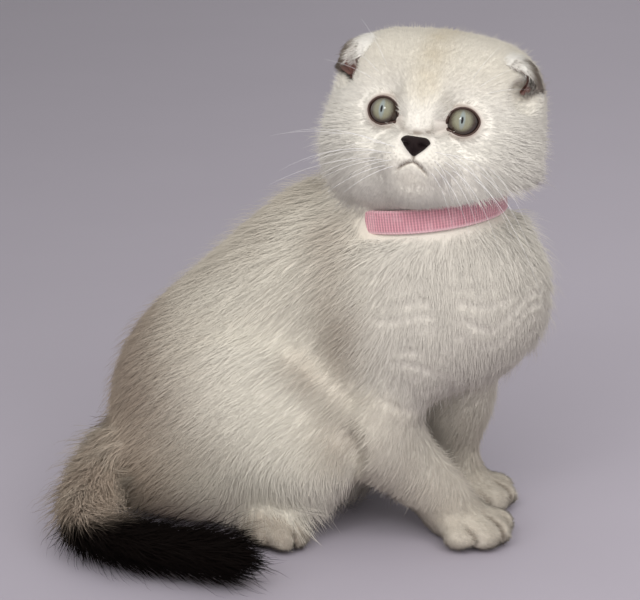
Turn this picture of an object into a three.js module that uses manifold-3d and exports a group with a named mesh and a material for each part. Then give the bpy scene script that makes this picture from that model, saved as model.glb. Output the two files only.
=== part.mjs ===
// A Scottish Fold kitten of about eleven weeks, life size, sitting with its head turned to its right.
// Units are millimetres. +X is the kitten's left, -Y is the way its body faces and +Z is up.
// The origin is on the floor, on the flat that the kitten sits on.
//
// The body is one smooth form, blended from balls and tapering limbs. Each part is a skin blown up
// from a core line until it meets that form, and then cut to the part's own space, so that
// neighbours meet face to face with a thin gap. The skins reach to the tips of the short coat.
import * as THREE from "three";
import { mergeVertices } from "three/addons/utils/BufferGeometryUtils.js";
import Module from "manifold-3d";

const wasm = await Module();
wasm.setup();

// Driving sizes
const HEAD_WIDTH = 98; // over the cheek fur
const HEAD_HEIGHT = 79; // crown to jowls
const HEAD_DEPTH = 84; // brow to the back of the skull
const HIP_WIDTH = 112; // over both thighs
const CHEST_WIDTH = 76;
const PAW_WIDTH = 31;
const EYE_RADIUS = 9;
const TAIL_RADIUS = 13.5;
const COLLAR_RADIUS = 31.5; // outside of the band, across the neck
const COLLAR_STRETCH = 1.08; // front to back over side to side
const COLLAR_HEIGHT = 10;
const COLLAR_THICKNESS = 1.8;
const TAIL_CORE = 0.62; // core over full radius, the rest being locks
const LOCK_ROWS = 8;
const LOCKS_ROUND = 6;
const GAP = 0.35; // kept between parts that touch

// Landmarks
const HEAD_CENTRE = new THREE.Vector3(-8, -61, 179);
const HEAD_YAW = -84; // degrees, turned to the kitten's right
const HEAD_PITCH = -15; // face tipped up
const HEAD_ROLL = 5; // left ear lower
const COLLAR_CENTRE = new THREE.Vector3(-3, -55, 143);
const COLLAR_TILT = -8; // degrees about X: higher in front
const PELVIS = new THREE.Vector3(0, 46, 45);
const LOIN = new THREE.Vector3(0, 16, 80);
const RIBS = new THREE.Vector3(0, -17, 107);
const CHEST = new THREE.Vector3(0, -72, 106);
const BELLY = new THREE.Vector3(0, 2, 40);
const NECK_BASE = new THREE.Vector3(0, -38, 118);
const NECK_TOP = new THREE.Vector3(-3, -58, 152);

const degrees = THREE.MathUtils.degToRad;
const at = (x, y, z) => new THREE.Vector3(x, y, z);

// Forms: each takes a point and returns about how far it lies outside, negative inside.

// A ball with three radii, turned by Euler angles in degrees.
function ball(centre, radii, turn = [0, 0, 0]) {
  const back = new THREE.Quaternion()
    .setFromEuler(new THREE.Euler(...turn.map(degrees)))
    .invert();
  const local = new THREE.Vector3();
  return (p) => {
    local.copy(p).sub(centre).applyQuaternion(back);
    const x = local.x / radii[0];
    const y = local.y / radii[1];
    const z = local.z / radii[2];
    const near = Math.hypot(x, y, z);
    const slope = Math.hypot(x / radii[0], y / radii[1], z / radii[2]);
    return slope < 1e-9 ? -Math.min(...radii) : (near * (near - 1)) / slope;
  };
}

// A limb that tapers from one radius to another.
function limb(start, startRadius, end, endRadius) {
  const along = end.clone().sub(start);
  const lengthSquared = along.lengthSq();
  const local = new THREE.Vector3();
  return (p) => {
    local.copy(p).sub(start);
    const share = THREE.MathUtils.clamp(local.dot(along) / lengthSquared, 0, 1);
    local.addScaledVector(along, -share);
    return local.length() - THREE.MathUtils.lerp(startRadius, endRadius, share);
  };
}

// The forms joined, each melting into those before it over its own blend width.
function blended(forms) {
  return (p) => {
    let nearest = Infinity;
    for (const [form, blend] of forms) {
      const d = form(p);
      const meet = Math.max(blend - Math.abs(nearest - d), 0) / blend;
      nearest = Math.min(nearest, d) - (meet * meet * blend) / 4;
    }
    return nearest;
  };
}

// Solids

function solidFrom(geometry, matrix) {
  const bare = geometry.clone();
  bare.deleteAttribute("normal");
  bare.deleteAttribute("uv");
  if (matrix) bare.applyMatrix4(matrix);
  const merged = mergeVertices(bare, 1e-4);
  return new wasm.Manifold(
    new wasm.Mesh({
      numProp: 3,
      vertProperties: new Float32Array(merged.attributes.position.array),
      triVerts: new Uint32Array(merged.index.array),
    }),
  );
}

function geometryFrom(solid) {
  const mesh = solid.getMesh();
  const positions = new Float32Array(mesh.numVert * 3);
  for (let i = 0; i < mesh.numVert; i++) {
    const first = i * mesh.numProp;
    positions.set(mesh.vertProperties.subarray(first, first + 3), i * 3);
  }
  const geometry = new THREE.BufferGeometry();
  geometry.setAttribute("position", new THREE.BufferAttribute(positions, 3));
  geometry.setIndex(new THREE.BufferAttribute(mesh.triVerts, 1));
  geometry.computeVertexNormals();
  return geometry;
}

const largest = (solid) =>
  solid.decompose().reduce((a, b) => (b.volume() > a.volume() ? b : a));

const boxBetween = (low, high) => {
  const size = high.clone().sub(low);
  const centre = low.clone().add(high).multiplyScalar(0.5);
  return solidFrom(
    new THREE.BoxGeometry(size.x, size.y, size.z).translate(...centre.toArray()),
  );
};

// Where a ray from inside the form leaves it, once the form has grown by grow.
function leave(form, origin, direction, grow) {
  const p = origin.clone();
  const shortest = 0.02;
  for (let step = 0; step < 400; step++) {
    const depth = grow - form(p);
    if (depth < shortest) break;
    p.addScaledVector(direction, Math.max(depth * 0.7, shortest));
  }
  return p;
}

// A skin blown up from a core line. ahead is the side of the core that seams start on.
function skin(form, { core, stations, sides, capRings, ahead, grow = 0 }) {
  const capsule = new THREE.CapsuleGeometry(1, 2, capRings, sides, stations);
  const points = capsule.attributes.position;
  const ray = new THREE.Vector3();
  for (let i = 0; i < points.count; i++) {
    const y = points.getY(i);
    const share = THREE.MathUtils.clamp((y + 1) / 2, 0, 1);
    const along = core.getTangentAt(share);
    const side = new THREE.Vector3().crossVectors(along, ahead).normalize();
    const front = new THREE.Vector3().crossVectors(side, along);
    const overshoot = y - THREE.MathUtils.clamp(y, -1, 1);
    ray
      .copy(along)
      .multiplyScalar(overshoot)
      .addScaledVector(side, points.getX(i))
      .addScaledVector(front, points.getZ(i))
      .normalize();
    const p = leave(form, core.getPointAt(share), ray, grow);
    points.setXYZ(i, p.x, p.y, p.z);
  }
  return solidFrom(capsule);
}

const line = (...points) =>
  points.length === 2
    ? new THREE.LineCurve3(...points)
    : new THREE.CatmullRomCurve3(points);

// Body form

const hipX = HIP_WIDTH / 2;
const thighRadius = hipX * 0.43;
const shoulderX = CHEST_WIDTH * 0.3;
const toeRadius = PAW_WIDTH * 0.2;
const footLength = 38;

// Each leg's own stance. The toes' heading is in degrees about Z, and negative is to the right.
const frontLegs = [
  { side: "right", sign: -1, elbow: at(-27, -40, 48), paw: at(-13, -76, 0), heading: -28 },
  { side: "left", sign: 1, elbow: at(26, -58, 50), paw: at(25, -66, 0), heading: -14 },
].map((leg) => ({
  ...leg,
  shoulder: leg.elbow.clone().add(at(-leg.sign * 3, -10, 34)),
  wrist: leg.paw.clone().add(at(leg.sign * 2, 9, 20)),
}));
const hindLegs = [
  { side: "right", sign: -1, paw: at(-41, -3, 0), heading: -48 },
  { side: "left", sign: 1, paw: at(44, -8, 0), heading: 20 },
].map((leg) => ({
  ...leg,
  thigh: at(leg.sign * (hipX - thighRadius), 16, 43),
  knee: at(leg.sign * (hipX - 19), -14, 36),
  hock: leg.paw.clone().add(at(-leg.sign * 2, 36, 11)),
}));

// A paw of four toes, about a point on the floor under its middle.
function pawForms({ paw, heading }) {
  const turn = new THREE.Matrix4().makeRotationZ(degrees(heading)).setPosition(paw);
  const place = (x, y, z) => at(x, y, z).applyMatrix4(turn);
  const pad = [PAW_WIDTH * 0.43, footLength * 0.44, 11];
  const forms = [[ball(place(0, 3, 9), pad, [0, 0, heading]), 6]];
  const toeSize = [toeRadius, toeRadius * 1.35, 7.2];
  for (const [across, forward] of [[-1.5, 0.24], [-0.52, 0.42], [0.52, 0.42], [1.5, 0.24]]) {
    const toe = place(across * toeRadius * 1.4, -footLength * forward, 6.6);
    forms.push([ball(toe, toeSize, [0, 0, heading + across * 8]), 2.5]);
  }
  return forms;
}

const trunkForms = [
  [ball(RIBS, [37, 46, 46], [-24, 0, 0]), 24],
  [ball(CHEST, [CHEST_WIDTH / 2, 38, 41], [-8, 0, 0]), 20],
  [limb(NECK_BASE, 35, NECK_TOP, 32), 18],
  [ball(LOIN, [38, 45, 42], [-28, 0, 0]), 24],
  [ball(PELVIS, [42, 44, 48]), 24],
  [ball(BELLY, [36, 46, 43]), 20],
];
for (const { sign } of frontLegs) {
  const shoulder = at(sign * shoulderX, -50, 92);
  trunkForms.push([ball(shoulder, [22, 30, 42], [12, 0, 0]), 16]);
}
for (const { thigh, knee } of hindLegs) {
  trunkForms.push([ball(thigh, [thighRadius, 46, 42], [20, 0, 0]), 14]);
  trunkForms.push([ball(knee, [17, 20, 25], [15, 0, 0]), 18]);
  trunkForms.push([ball(at(Math.sign(thigh.x) * 27, 50, 22), [27, 38, 24]), 14]);
}
const trunkForm = blended(trunkForms);

const frontLegForm = (leg) =>
  blended([
    [limb(leg.shoulder, 17, leg.elbow, 18), 10],
    [limb(leg.elbow, 18, leg.wrist, 13.5), 12],
    ...pawForms(leg),
  ]);
const footForm = (leg) =>
  blended([[limb(leg.hock, 11, leg.paw.clone().add(at(0, 6, 10)), 10.5), 8], ...pawForms(leg)]);

// Tail: leaves the rump, curls round the right thigh and lies along it on the floor.
const tailLine = new THREE.CatmullRomCurve3([
  at(-5, 67, 28),
  at(-34, 76, 24),
  at(-64, 75, 18),
  at(-87, 64, TAIL_RADIUS + 0.5),
  at(-96, 38, TAIL_RADIUS),
  at(-96, 0, TAIL_RADIUS),
]);
const tailSteps = 12;
const tailWidth = (share) => {
  const root = 1 + 0.3 * (1 - THREE.MathUtils.smoothstep(share, 0, 0.6));
  const tip = 1 - 0.25 * THREE.MathUtils.smoothstep(share, 0.85, 1);
  return TAIL_RADIUS * root * tip;
};
const tailForm = blended(
  Array.from({ length: tailSteps }, (_, i) => {
    const [start, end] = [i / tailSteps, (i + 1) / tailSteps];
    const piece = limb(
      tailLine.getPointAt(start),
      tailWidth(start),
      tailLine.getPointAt(end),
      tailWidth(end),
    );
    return [piece, 4];
  }),
);

// Head form, in its own frame: +X its left, -Y the way it faces, +Z its crown.
const headMatrix = new THREE.Matrix4().compose(
  HEAD_CENTRE,
  new THREE.Quaternion().setFromEuler(
    new THREE.Euler(degrees(HEAD_PITCH), degrees(HEAD_ROLL), degrees(HEAD_YAW), "ZXY"),
  ),
  at(1, 1, 1),
);
const eyeX = HEAD_WIDTH * 0.155;
const eyeY = -25;
const eyeZ = 1.5;
const lidRadius = EYE_RADIUS + 1.6;
const nose = at(0, -38.5, -10);
const muzzleY = -33;
const sides = [
  { side: "right", sign: -1 },
  { side: "left", sign: 1 },
];

const skull = [HEAD_WIDTH * 0.435, HEAD_DEPTH / 2, HEAD_HEIGHT * 0.44];
const headForms = [
  [ball(at(0, 2, 5), skull), 10],
  [ball(at(0, -4, -24), [30, 28, 15]), 14],
  [ball(at(0, -24, -14), [16, 13, 12]), 10],
  [limb(at(0, -28, 12), 8, at(0, -33, -6.5), 5.5), 9],
  [ball(at(0, -27.5, -26), [10, 9, 8]), 8],
];
for (const { sign } of sides) {
  headForms.push([ball(at(sign * 22, 0, 17), [20, 26, 19.5]), 8]);
  headForms.push([ball(at(sign * 25, -6, -10), [21.5, 24, 23]), 12]);
  headForms.push([ball(at(sign * 24, -2, -20), [19, 22, 17]), 12]);
  headForms.push([ball(at(sign * 7, muzzleY, -16.5), [8.8, 7, 7]), 4]);
  const lid = [lidRadius, lidRadius, lidRadius];
  headForms.push([ball(at(sign * eyeX, eyeY, eyeZ), lid), 4]);
}
const headForm = blended(headForms);

// A skin blown up from one point, with its rings closer together near the face.
function faceSkin(form, { around, rings, crowd, grow = 0 }) {
  const sphere = new THREE.SphereGeometry(1, around, rings);
  const points = sphere.attributes.position;
  const ray = new THREE.Vector3();
  const start = at(0, -4, -4);
  for (let i = 0; i < points.count; i++) {
    const polar = Math.acos(THREE.MathUtils.clamp(points.getY(i), -1, 1));
    const open = Math.PI * (polar / Math.PI) ** crowd;
    const turn = -Math.atan2(points.getZ(i), points.getX(i));
    ray.set(Math.sin(open) * Math.cos(turn), -Math.cos(open), Math.sin(open) * Math.sin(turn));
    const p = leave(form, start, ray, grow);
    points.setXYZ(i, p.x, p.y, p.z);
  }
  return solidFrom(sphere);
}

// A plain ball solid.
function ballSolid(centre, radii, turn = [0, 0, 0], detail = 14) {
  const matrix = new THREE.Matrix4().compose(
    centre,
    new THREE.Quaternion().setFromEuler(new THREE.Euler(...turn.map(degrees))),
    at(...radii),
  );
  return solidFrom(new THREE.SphereGeometry(1, detail, Math.round(detail * 0.7)), matrix);
}

// Collar: a band about the neck. Its cutter opens outwards, as the coat parts round it.
const collarMatrix = new THREE.Matrix4().compose(
  COLLAR_CENTRE,
  new THREE.Quaternion().setFromEuler(new THREE.Euler(degrees(COLLAR_TILT), 0, 0)),
  at(1, COLLAR_STRETCH, 1),
);
function band(inner, outer, halfInner, halfOuter) {
  const profile = [
    new THREE.Vector2(inner, -halfInner),
    new THREE.Vector2(outer, -halfOuter),
    new THREE.Vector2(outer, halfOuter),
    new THREE.Vector2(inner, halfInner),
    new THREE.Vector2(inner, -halfInner),
  ];
  const lathe = new THREE.LatheGeometry(profile, 36).rotateX(Math.PI / 2);
  return solidFrom(lathe, collarMatrix);
}
const collarInner = COLLAR_RADIUS - COLLAR_THICKNESS;
const collarHalf = COLLAR_HEIGHT / 2;
const collar = band(collarInner, COLLAR_RADIUS, collarHalf, collarHalf);
// The coat closes over the band at the nape, so the open part of its room ends at the shoulders.
const napeY = -38;
const collarRoom = band(
  collarInner - GAP,
  COLLAR_RADIUS + 20,
  collarHalf + GAP,
  collarHalf + 3,
)
  .intersect(boxBetween(at(-100, -200, 80), at(100, napeY, 200)))
  .add(band(collarInner - GAP, COLLAR_RADIUS + GAP, collarHalf + GAP, collarHalf + GAP));

// Parts
const parts = [];
const add = (name, solid, material) => parts.push({ name, solid: largest(solid), material });
const floor = boxBetween(at(-200, -200, -50), at(200, 200, 0));
const neckUp = at(0, 0, 1).transformDirection(collarMatrix);
const collarLevel = neckUp.dot(COLLAR_CENTRE);
const neckLevel = collarLevel - 11;

// Head, with eye sockets under open lids, a seat for the nose and a cut for the mouth
const inHead = (solid) => solid.transform(headMatrix.elements);
const headGrid = { around: 36, rings: 24, crowd: 1.4 };
const headRoomLocal = faceSkin(headForm, { ...headGrid, grow: GAP });
const headRoom = inHead(headRoomLocal).trimByPlane(neckUp.toArray(), collarLevel + collarHalf);
let head = faceSkin(headForm, headGrid);

for (const { side, sign } of sides) {
  const centre = at(sign * eyeX, eyeY, eyeZ);
  const socket = EYE_RADIUS + GAP;
  const opening = new THREE.CylinderGeometry(6.9, 6.2, 20, 20).scale(1, 1, 0.93);
  opening.rotateZ(degrees(sign * 10)).translate(centre.x, centre.y - 11, centre.z);
  head = head
    .subtract(ballSolid(centre, [socket, socket, socket]))
    .subtract(solidFrom(opening));
  add(`eye_${side}`, inHead(ballSolid(centre, [EYE_RADIUS, EYE_RADIUS, EYE_RADIUS])), "eye");
}

const noseForm = blended([
  [ball(nose.clone().add(at(0, 0, 1)), [6, 3.2, 2.9]), 2],
  [ball(nose.clone().add(at(0, -0.2, -2.4)), [2.6, 3, 3.2]), 3],
]);
const noseGrid = {
  core: line(nose, nose.clone().add(at(0, 0, -2))),
  ahead: at(0, -1, 0),
  stations: 1,
  sides: 14,
  capRings: 3,
};
let noseSolid = skin(noseForm, noseGrid);
head = head.subtract(skin(noseForm, { ...noseGrid, grow: GAP }));
for (const { sign } of sides) {
  const nostril = at(sign * 3.1, nose.y - 2.6, nose.z + 0.4);
  noseSolid = noseSolid.subtract(ballSolid(nostril, [1.5, 1.8, 0.9], [0, sign * 25, 0], 8));
}
add("nose", inHead(noseSolid), "nose");

// A groove that follows the head's surface along points seen from the front.
function groove(points, radius) {
  const onHead = points.map(([x, z]) =>
    leave(headForm, at(x, -15, z), at(0, -1, 0), -radius * 0.3),
  );
  const route = new THREE.CatmullRomCurve3(onHead);
  const round = new THREE.Shape().absarc(0, 0, radius, 0, Math.PI * 2);
  const options = { steps: 8, curveSegments: 3, bevelEnabled: false, extrudePath: route };
  return solidFrom(new THREE.ExtrudeGeometry(round, options));
}
for (const { sign } of sides) {
  head = head.subtract(groove([[0, -16.6], [sign * 2.2, -17.5], [sign * 4.4, -19], [sign * 6.6, -21]], 0.9));
}
head = head.subtract(groove([[0, -12.5], [0, -15], [0, -17]], 0.7));
const earCups = sides.map(({ side, sign }) => ({
  side,
  sign,
  cup: ballSolid(at(sign * 37, -18.5, 15), [7.5, 8.5, 6.5], [-20, sign * -25, 0], 12),
}));
for (const { cup } of earCups) head = head.subtract(cup);
head = inHead(head)
  .trimByPlane(neckUp.toArray(), collarLevel + collarHalf + GAP)
  .subtract(collarRoom);
add("head", head, "coat_white");

// Ears: small caps folded forward and down, hollow underneath, that lie close to the skull
for (const { side, sign, cup } of earCups) {
  const centre = at(sign * 34.5, -8, 22);
  const turn = [-24, sign * -28, 0];
  const tip = at(sign * 39, -16, 20.5);
  const earForm = blended([
    [ball(centre, [9, 12, 10], turn), 3],
    [limb(centre, 7, tip, 2.5), 5],
  ]);
  const ear = skin(earForm, {
    core: line(centre, centre.clone().lerp(tip, 0.4)),
    stations: 2,
    sides: 16,
    capRings: 5,
    ahead: at(0, 0, 1),
  });
  add(`ear_${side}`, inHead(ear.subtract(cup).subtract(headRoomLocal)), "ear");
}

// Neck and collar
const neckBlown = skin(trunkForm, {
  core: line(NECK_BASE, NECK_TOP),
  stations: 4,
  sides: 20,
  capRings: 4,
  ahead: at(1, 0, 0),
});
const neck = neckBlown
  .trimByPlane(neckUp.toArray(), neckLevel)
  .subtract(headRoom)
  .subtract(collarRoom);
add("neck", neck, "coat_cream");
add("collar", collar.subtract(headRoom), "collar");

// Torso, whose legs are cut out below
const back = (vector) => vector.toArray().map((value) => -value);
const spine = line(at(0, 52, 42), at(0, 20, 62), at(0, -30, 88), at(0, -58, 112));
const torsoGrid = { core: spine, stations: 13, sides: 24, capRings: 5 };
let torso = skin(trunkForm, { ...torsoGrid, ahead: at(1, 0, 0) })
  .trimByPlane(back(neckUp), -(neckLevel - GAP))
  .subtract(floor);

// A box that keeps one side of the body, from a plane at some distance from the middle.
const sideBox = (sign, distance) =>
  boxBetween(
    at(Math.min(sign * 120, sign * distance), -140, -1),
    at(Math.max(sign * 120, sign * distance), 140, 160),
  );

// Hind legs: a thigh in an egg-shaped room, and a foot that comes out below it
const thighRooms = [];
for (const leg of hindLegs) {
  const { sign, paw } = leg;
  const innerX = 26;
  const lean = [18, 0, 0];
  const thighCentre = at(sign * 50, 9, 40);
  const thighRadii = [34, 51, 49];
  const grown = (radii) => radii.map((r) => r + GAP);
  const thighRoom = ballSolid(thighCentre, grown(thighRadii), lean, 18).intersect(
    sideBox(sign, innerX - GAP),
  );
  const footTurn = [0, 0, leg.heading];
  const footRadii = [PAW_WIDTH * 0.5, footLength * 0.62, 16];
  const footCentre = paw.clone().add(at(0, 3, 4));
  const footRoom = ballSolid(footCentre, grown(footRadii), footTurn, 14);
  const core = at(sign * 38, 12, 42);
  const thigh = skin(trunkForm, {
    core: line(core.clone().add(at(0, 14, 4)), core.clone().add(at(0, -14, -5))),
    stations: 2,
    sides: 22,
    capRings: 5,
    ahead: at(1, 0, 0),
  })
    .intersect(ballSolid(thighCentre, thighRadii, lean, 18))
    .intersect(sideBox(sign, innerX))
    .subtract(floor)
    .subtract(footRoom);
  const foot = skin(footForm(leg), {
    core: line(paw.clone().add(at(0, 14, 9)), paw.clone().add(at(0, -3, 8))),
    stations: 2,
    sides: 20,
    capRings: 5,
    ahead: at(0, 0, 1),
  })
    .intersect(ballSolid(footCentre, footRadii, footTurn, 14))
    .subtract(floor);
  torso = torso.subtract(thighRoom).subtract(footRoom);
  thighRooms.push(thighRoom);
  add(`leg_hind_${leg.side}`, thigh, "coat_cream");
  add(`paw_hind_${leg.side}`, foot, "coat_cream");
}

// Front legs: each runs up under the chest, and is cut from its paw at the wrist
for (const [index, leg] of frontLegs.entries()) {
  const { paw, shoulder, elbow, wrist } = leg;
  const wristZ = 20;
  const form = frontLegForm(leg);
  const blown = (grow) =>
    skin(form, {
      core: line(shoulder, elbow, wrist, paw.clone().setZ(10)),
      stations: 9,
      sides: 18,
      capRings: 4,
      ahead: at(1, 0, 0),
      grow,
    });
  torso = torso.subtract(blown(GAP));
  const upper = blown(0).trimByPlane([0, 0, 1], wristZ + GAP).subtract(thighRooms[index]);
  const pawSolid = skin(form, {
    core: line(paw.clone().add(at(0, 1, 9)), paw.clone().add(at(0, -3, 8))),
    stations: 1,
    sides: 24,
    capRings: 7,
    ahead: at(0, 0, 1),
  })
    .trimByPlane([0, 0, -1], -wristZ)
    .subtract(floor);
  add(`leg_front_${leg.side}`, upper, "coat_cream");
  add(`paw_front_${leg.side}`, pawSolid, "coat_cream");
}

// Tail: a core under overlapping flat locks, parted in three lengths, in a hollow of the rump
const tailGrid = { core: tailLine, stations: 18, sides: 14, capRings: 4, ahead: at(0, 0, 1) };
const tailRoom = skin(tailForm, { ...tailGrid, grow: GAP });
const tailLength = tailLine.getLength();

// A point at some distance along the tail, some angle round it (0 is up) and some way out.
function onTail(along, angle, out) {
  const share = along / tailLength;
  const inside = THREE.MathUtils.clamp(share, 0, 1);
  const ahead = tailLine.getTangentAt(inside);
  const side = new THREE.Vector3().crossVectors(ahead, at(0, 0, 1)).normalize();
  const up = new THREE.Vector3().crossVectors(side, ahead);
  return tailLine
    .getPointAt(inside)
    .addScaledVector(ahead, along - inside * tailLength)
    .addScaledVector(side, Math.sin(angle) * out)
    .addScaledVector(up, Math.cos(angle) * out);
}

// One lock: a flat tapered blade that leaves the core and bends to lie along the coat.
function tailLock(start, angle, { length, width, thickness, sweep }) {
  const blade = new THREE.ConeGeometry(1, 1, 4, 3).translate(0, 0.5, 0);
  const points = blade.attributes.position;
  for (let i = 0; i < points.count; i++) {
    const share = points.getY(i);
    const along = start + share * length;
    const reach = tailWidth(THREE.MathUtils.clamp(along / tailLength, 0, 1)) - 0.7;
    const past = Math.max(along - tailLength, 0);
    const rise = Math.min(share * 1.6, 1);
    const root = reach * TAIL_CORE - 2.5;
    const middle = THREE.MathUtils.lerp(root, reach - thickness * 0.4, rise) - past * 0.24;
    const leaf = 1 + 1.5 * share; // keeps the blade broad past its middle
    const out = middle + points.getZ(i) * thickness * leaf;
    const turn = angle + sweep * share + (points.getX(i) * width * leaf) / reach;
    const p = onTail(along, turn, out);
    points.setXYZ(i, p.x, p.y, p.z);
  }
  return solidFrom(blade);
}

const seeded = (seed) => () => {
  seed = (seed * 16807) % 2147483647;
  return seed / 2147483647;
};
const draw = seeded(41);
const tailCore = skin((p) => tailForm(p) + TAIL_RADIUS * (1 - TAIL_CORE), {
  ...tailGrid,
  stations: 12,
  sides: 10,
  capRings: 3,
});
let tailWhole = tailCore;
for (let row = 0; row < LOCK_ROWS; row++) {
  for (let place = 0; place < LOCKS_ROUND; place++) {
    const angle = ((place + (row % 2) / 2) / LOCKS_ROUND) * 2 * Math.PI - Math.PI;
    const start = ((row + 0.35 * draw()) / (LOCK_ROWS - 1)) * tailLength * 0.89;
    const size = {
      length: 26 + 6 * draw(),
      width: 6.4,
      thickness: 1.7,
      sweep: (draw() - 0.5) * 0.5,
    };
    tailWhole = tailWhole.add(tailLock(start, angle, size));
  }
}
tailWhole = tailWhole.subtract(floor);
add("torso", torso, "coat_cream");
for (const part of parts) {
  if (["torso", "leg_hind_right", "paw_hind_right"].includes(part.name))
    part.solid = largest(part.solid.subtract(tailRoom));
}
const [rootCut, tipCut] = [0.36, 0.68].map((share) => {
  const along = tailLine.getTangentAt(share);
  return { along, level: along.dot(tailLine.getPointAt(share)) };
});
const upTo = (solid, { along, level }) => solid.trimByPlane(back(along), -level);
const beyond = (solid, { along, level }) => solid.trimByPlane(along.toArray(), level + GAP);
add("tail_root", upTo(tailWhole, rootCut), "coat_grey");
add("tail_middle", upTo(beyond(tailWhole, rootCut), tipCut), "coat_dark");
add("tail_tip", beyond(tailWhole, tipCut), "coat_dark");

const looks = {
  coat_white: { color: 0xdcd6cb, roughness: 0.9 },
  coat_cream: { color: 0xc9c0ae, roughness: 0.9 },
  coat_grey: { color: 0x8d8378, roughness: 0.9 },
  coat_dark: { color: 0x2a211d, roughness: 0.9 },
  ear: { color: 0xa49a8e, roughness: 0.9 },
  eye: { color: 0x7d8276, roughness: 0.1 },
  nose: { color: 0x2b2020, roughness: 0.5 },
  collar: { color: 0xc47788, roughness: 0.8 },
};
const materials = Object.fromEntries(
  Object.entries(looks).map(([name, look]) => [
    name,
    new THREE.MeshStandardMaterial({ name, metalness: 0, ...look }),
  ]),
);
const kitten = new THREE.Group();
for (const { name, solid, material } of parts) {
  const mesh = new THREE.Mesh(geometryFrom(solid), materials[material]);
  mesh.name = name;
  kitten.add(mesh);
}
export default kitten;
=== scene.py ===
"""A sitting kitten with folded ears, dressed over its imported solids: one skin, eyes, nose, whiskers, a collar
and a coat of tufts that follow the lie of the fur."""

import math

import bmesh
import bpy
import numpy as np
from mathutils import Matrix, Vector, noise
from mathutils.bvhtree import BVHTree
from mathutils.kdtree import KDTree


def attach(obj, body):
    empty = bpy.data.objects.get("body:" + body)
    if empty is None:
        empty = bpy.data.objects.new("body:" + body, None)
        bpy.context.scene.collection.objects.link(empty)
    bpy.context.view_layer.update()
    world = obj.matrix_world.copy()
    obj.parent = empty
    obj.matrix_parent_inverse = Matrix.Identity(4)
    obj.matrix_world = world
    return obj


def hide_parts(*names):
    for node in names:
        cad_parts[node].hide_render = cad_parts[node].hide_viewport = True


bl_info = {
    "name": "Sitting kitten",
    "version": (1, 0, 0),
    "blender": (4, 5, 0),
    "location": "View3D > Sidebar > Kitten",
    "description": "Dresses the kitten's solids with skin, eyes, coat, whiskers and collar",
    "category": "Object",
}

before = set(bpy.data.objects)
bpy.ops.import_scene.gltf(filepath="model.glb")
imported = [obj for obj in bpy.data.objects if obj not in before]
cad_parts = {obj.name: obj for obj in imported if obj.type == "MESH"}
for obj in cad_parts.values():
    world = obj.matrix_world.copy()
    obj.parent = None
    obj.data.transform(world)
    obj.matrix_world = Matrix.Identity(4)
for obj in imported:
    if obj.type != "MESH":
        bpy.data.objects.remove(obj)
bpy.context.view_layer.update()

MM = 0.001
HEAD_SPOT = Vector((-8, -61, 179)) * MM
HEAD_YAW, HEAD_PITCH, HEAD_ROLL = (math.radians(a) for a in (-84, -15, 5))
HEAD = (
    Matrix.Translation(HEAD_SPOT)
    @ Matrix.Rotation(HEAD_YAW, 4, "Z")
    @ Matrix.Rotation(HEAD_PITCH, 4, "X")
    @ Matrix.Rotation(HEAD_ROLL, 4, "Y")
)
HEAD_TURN = np.array(HEAD.to_3x3())
NECK_LEAN = math.radians(8)
NECK_UP = Vector((0, math.sin(NECK_LEAN), math.cos(NECK_LEAN)))
COLLAR_SPOT = Vector((-3, -55, 143)) * MM
TAIL_POINTS = [
    (-5, 67, 28),
    (-34, 76, 24),
    (-64, 75, 18),
    (-87, 64, 14),
    (-96, 38, 13.5),
    (-96, 0, 13.5),
]
PAWS = {
    "paw_front_right": ((-13, -76), -28),
    "paw_front_left": ((25, -66), -14),
    "paw_hind_right": ((-41, -3), -48),
    "paw_hind_left": ((44, -8), 20),
}
FLESH = (
    "head",
    "ear_right",
    "ear_left",
    "neck",
    "torso",
    "leg_front_right",
    "leg_front_left",
    "paw_front_right",
    "paw_front_left",
    "leg_hind_right",
    "leg_hind_left",
    "paw_hind_right",
    "paw_hind_left",
    "tail_root",
    "tail_middle",
    "tail_tip",
)
TAIL = ("tail_root", "tail_middle", "tail_tip")
SIDES = (("right", -1), ("left", 1))


# Settings


def length(name, text, default, low=0.0, high=1.0):
    return bpy.props.FloatProperty(
        name=name, description=text, default=default, min=low, max=high, precision=5,
        subtype="DISTANCE", unit="LENGTH",
    )


def share(name, text, default, low=0.0, high=1.0):
    return bpy.props.FloatProperty(
        name=name, description=text, default=default, min=low, max=high, subtype="FACTOR"
    )


def colour(name, text, default):
    return bpy.props.FloatVectorProperty(
        name=name, description=text, default=default, size=3, min=0.0, max=1.0,
        subtype="COLOR",
    )


class KittenSkin(bpy.types.PropertyGroup):
    voxel: length("Skin grid", "Spacing of the skin's points", 0.0016, 0.001, 0.01)
    seam: length("Seam", "How far the solids swell to close their seams", 0.0004)
    tail_core: length("Tail core", "Radius of the tail's flesh", 0.0072)
    lid: length("Lid", "Thickness of the eyelids over the eyeball", 0.0008)


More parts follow.
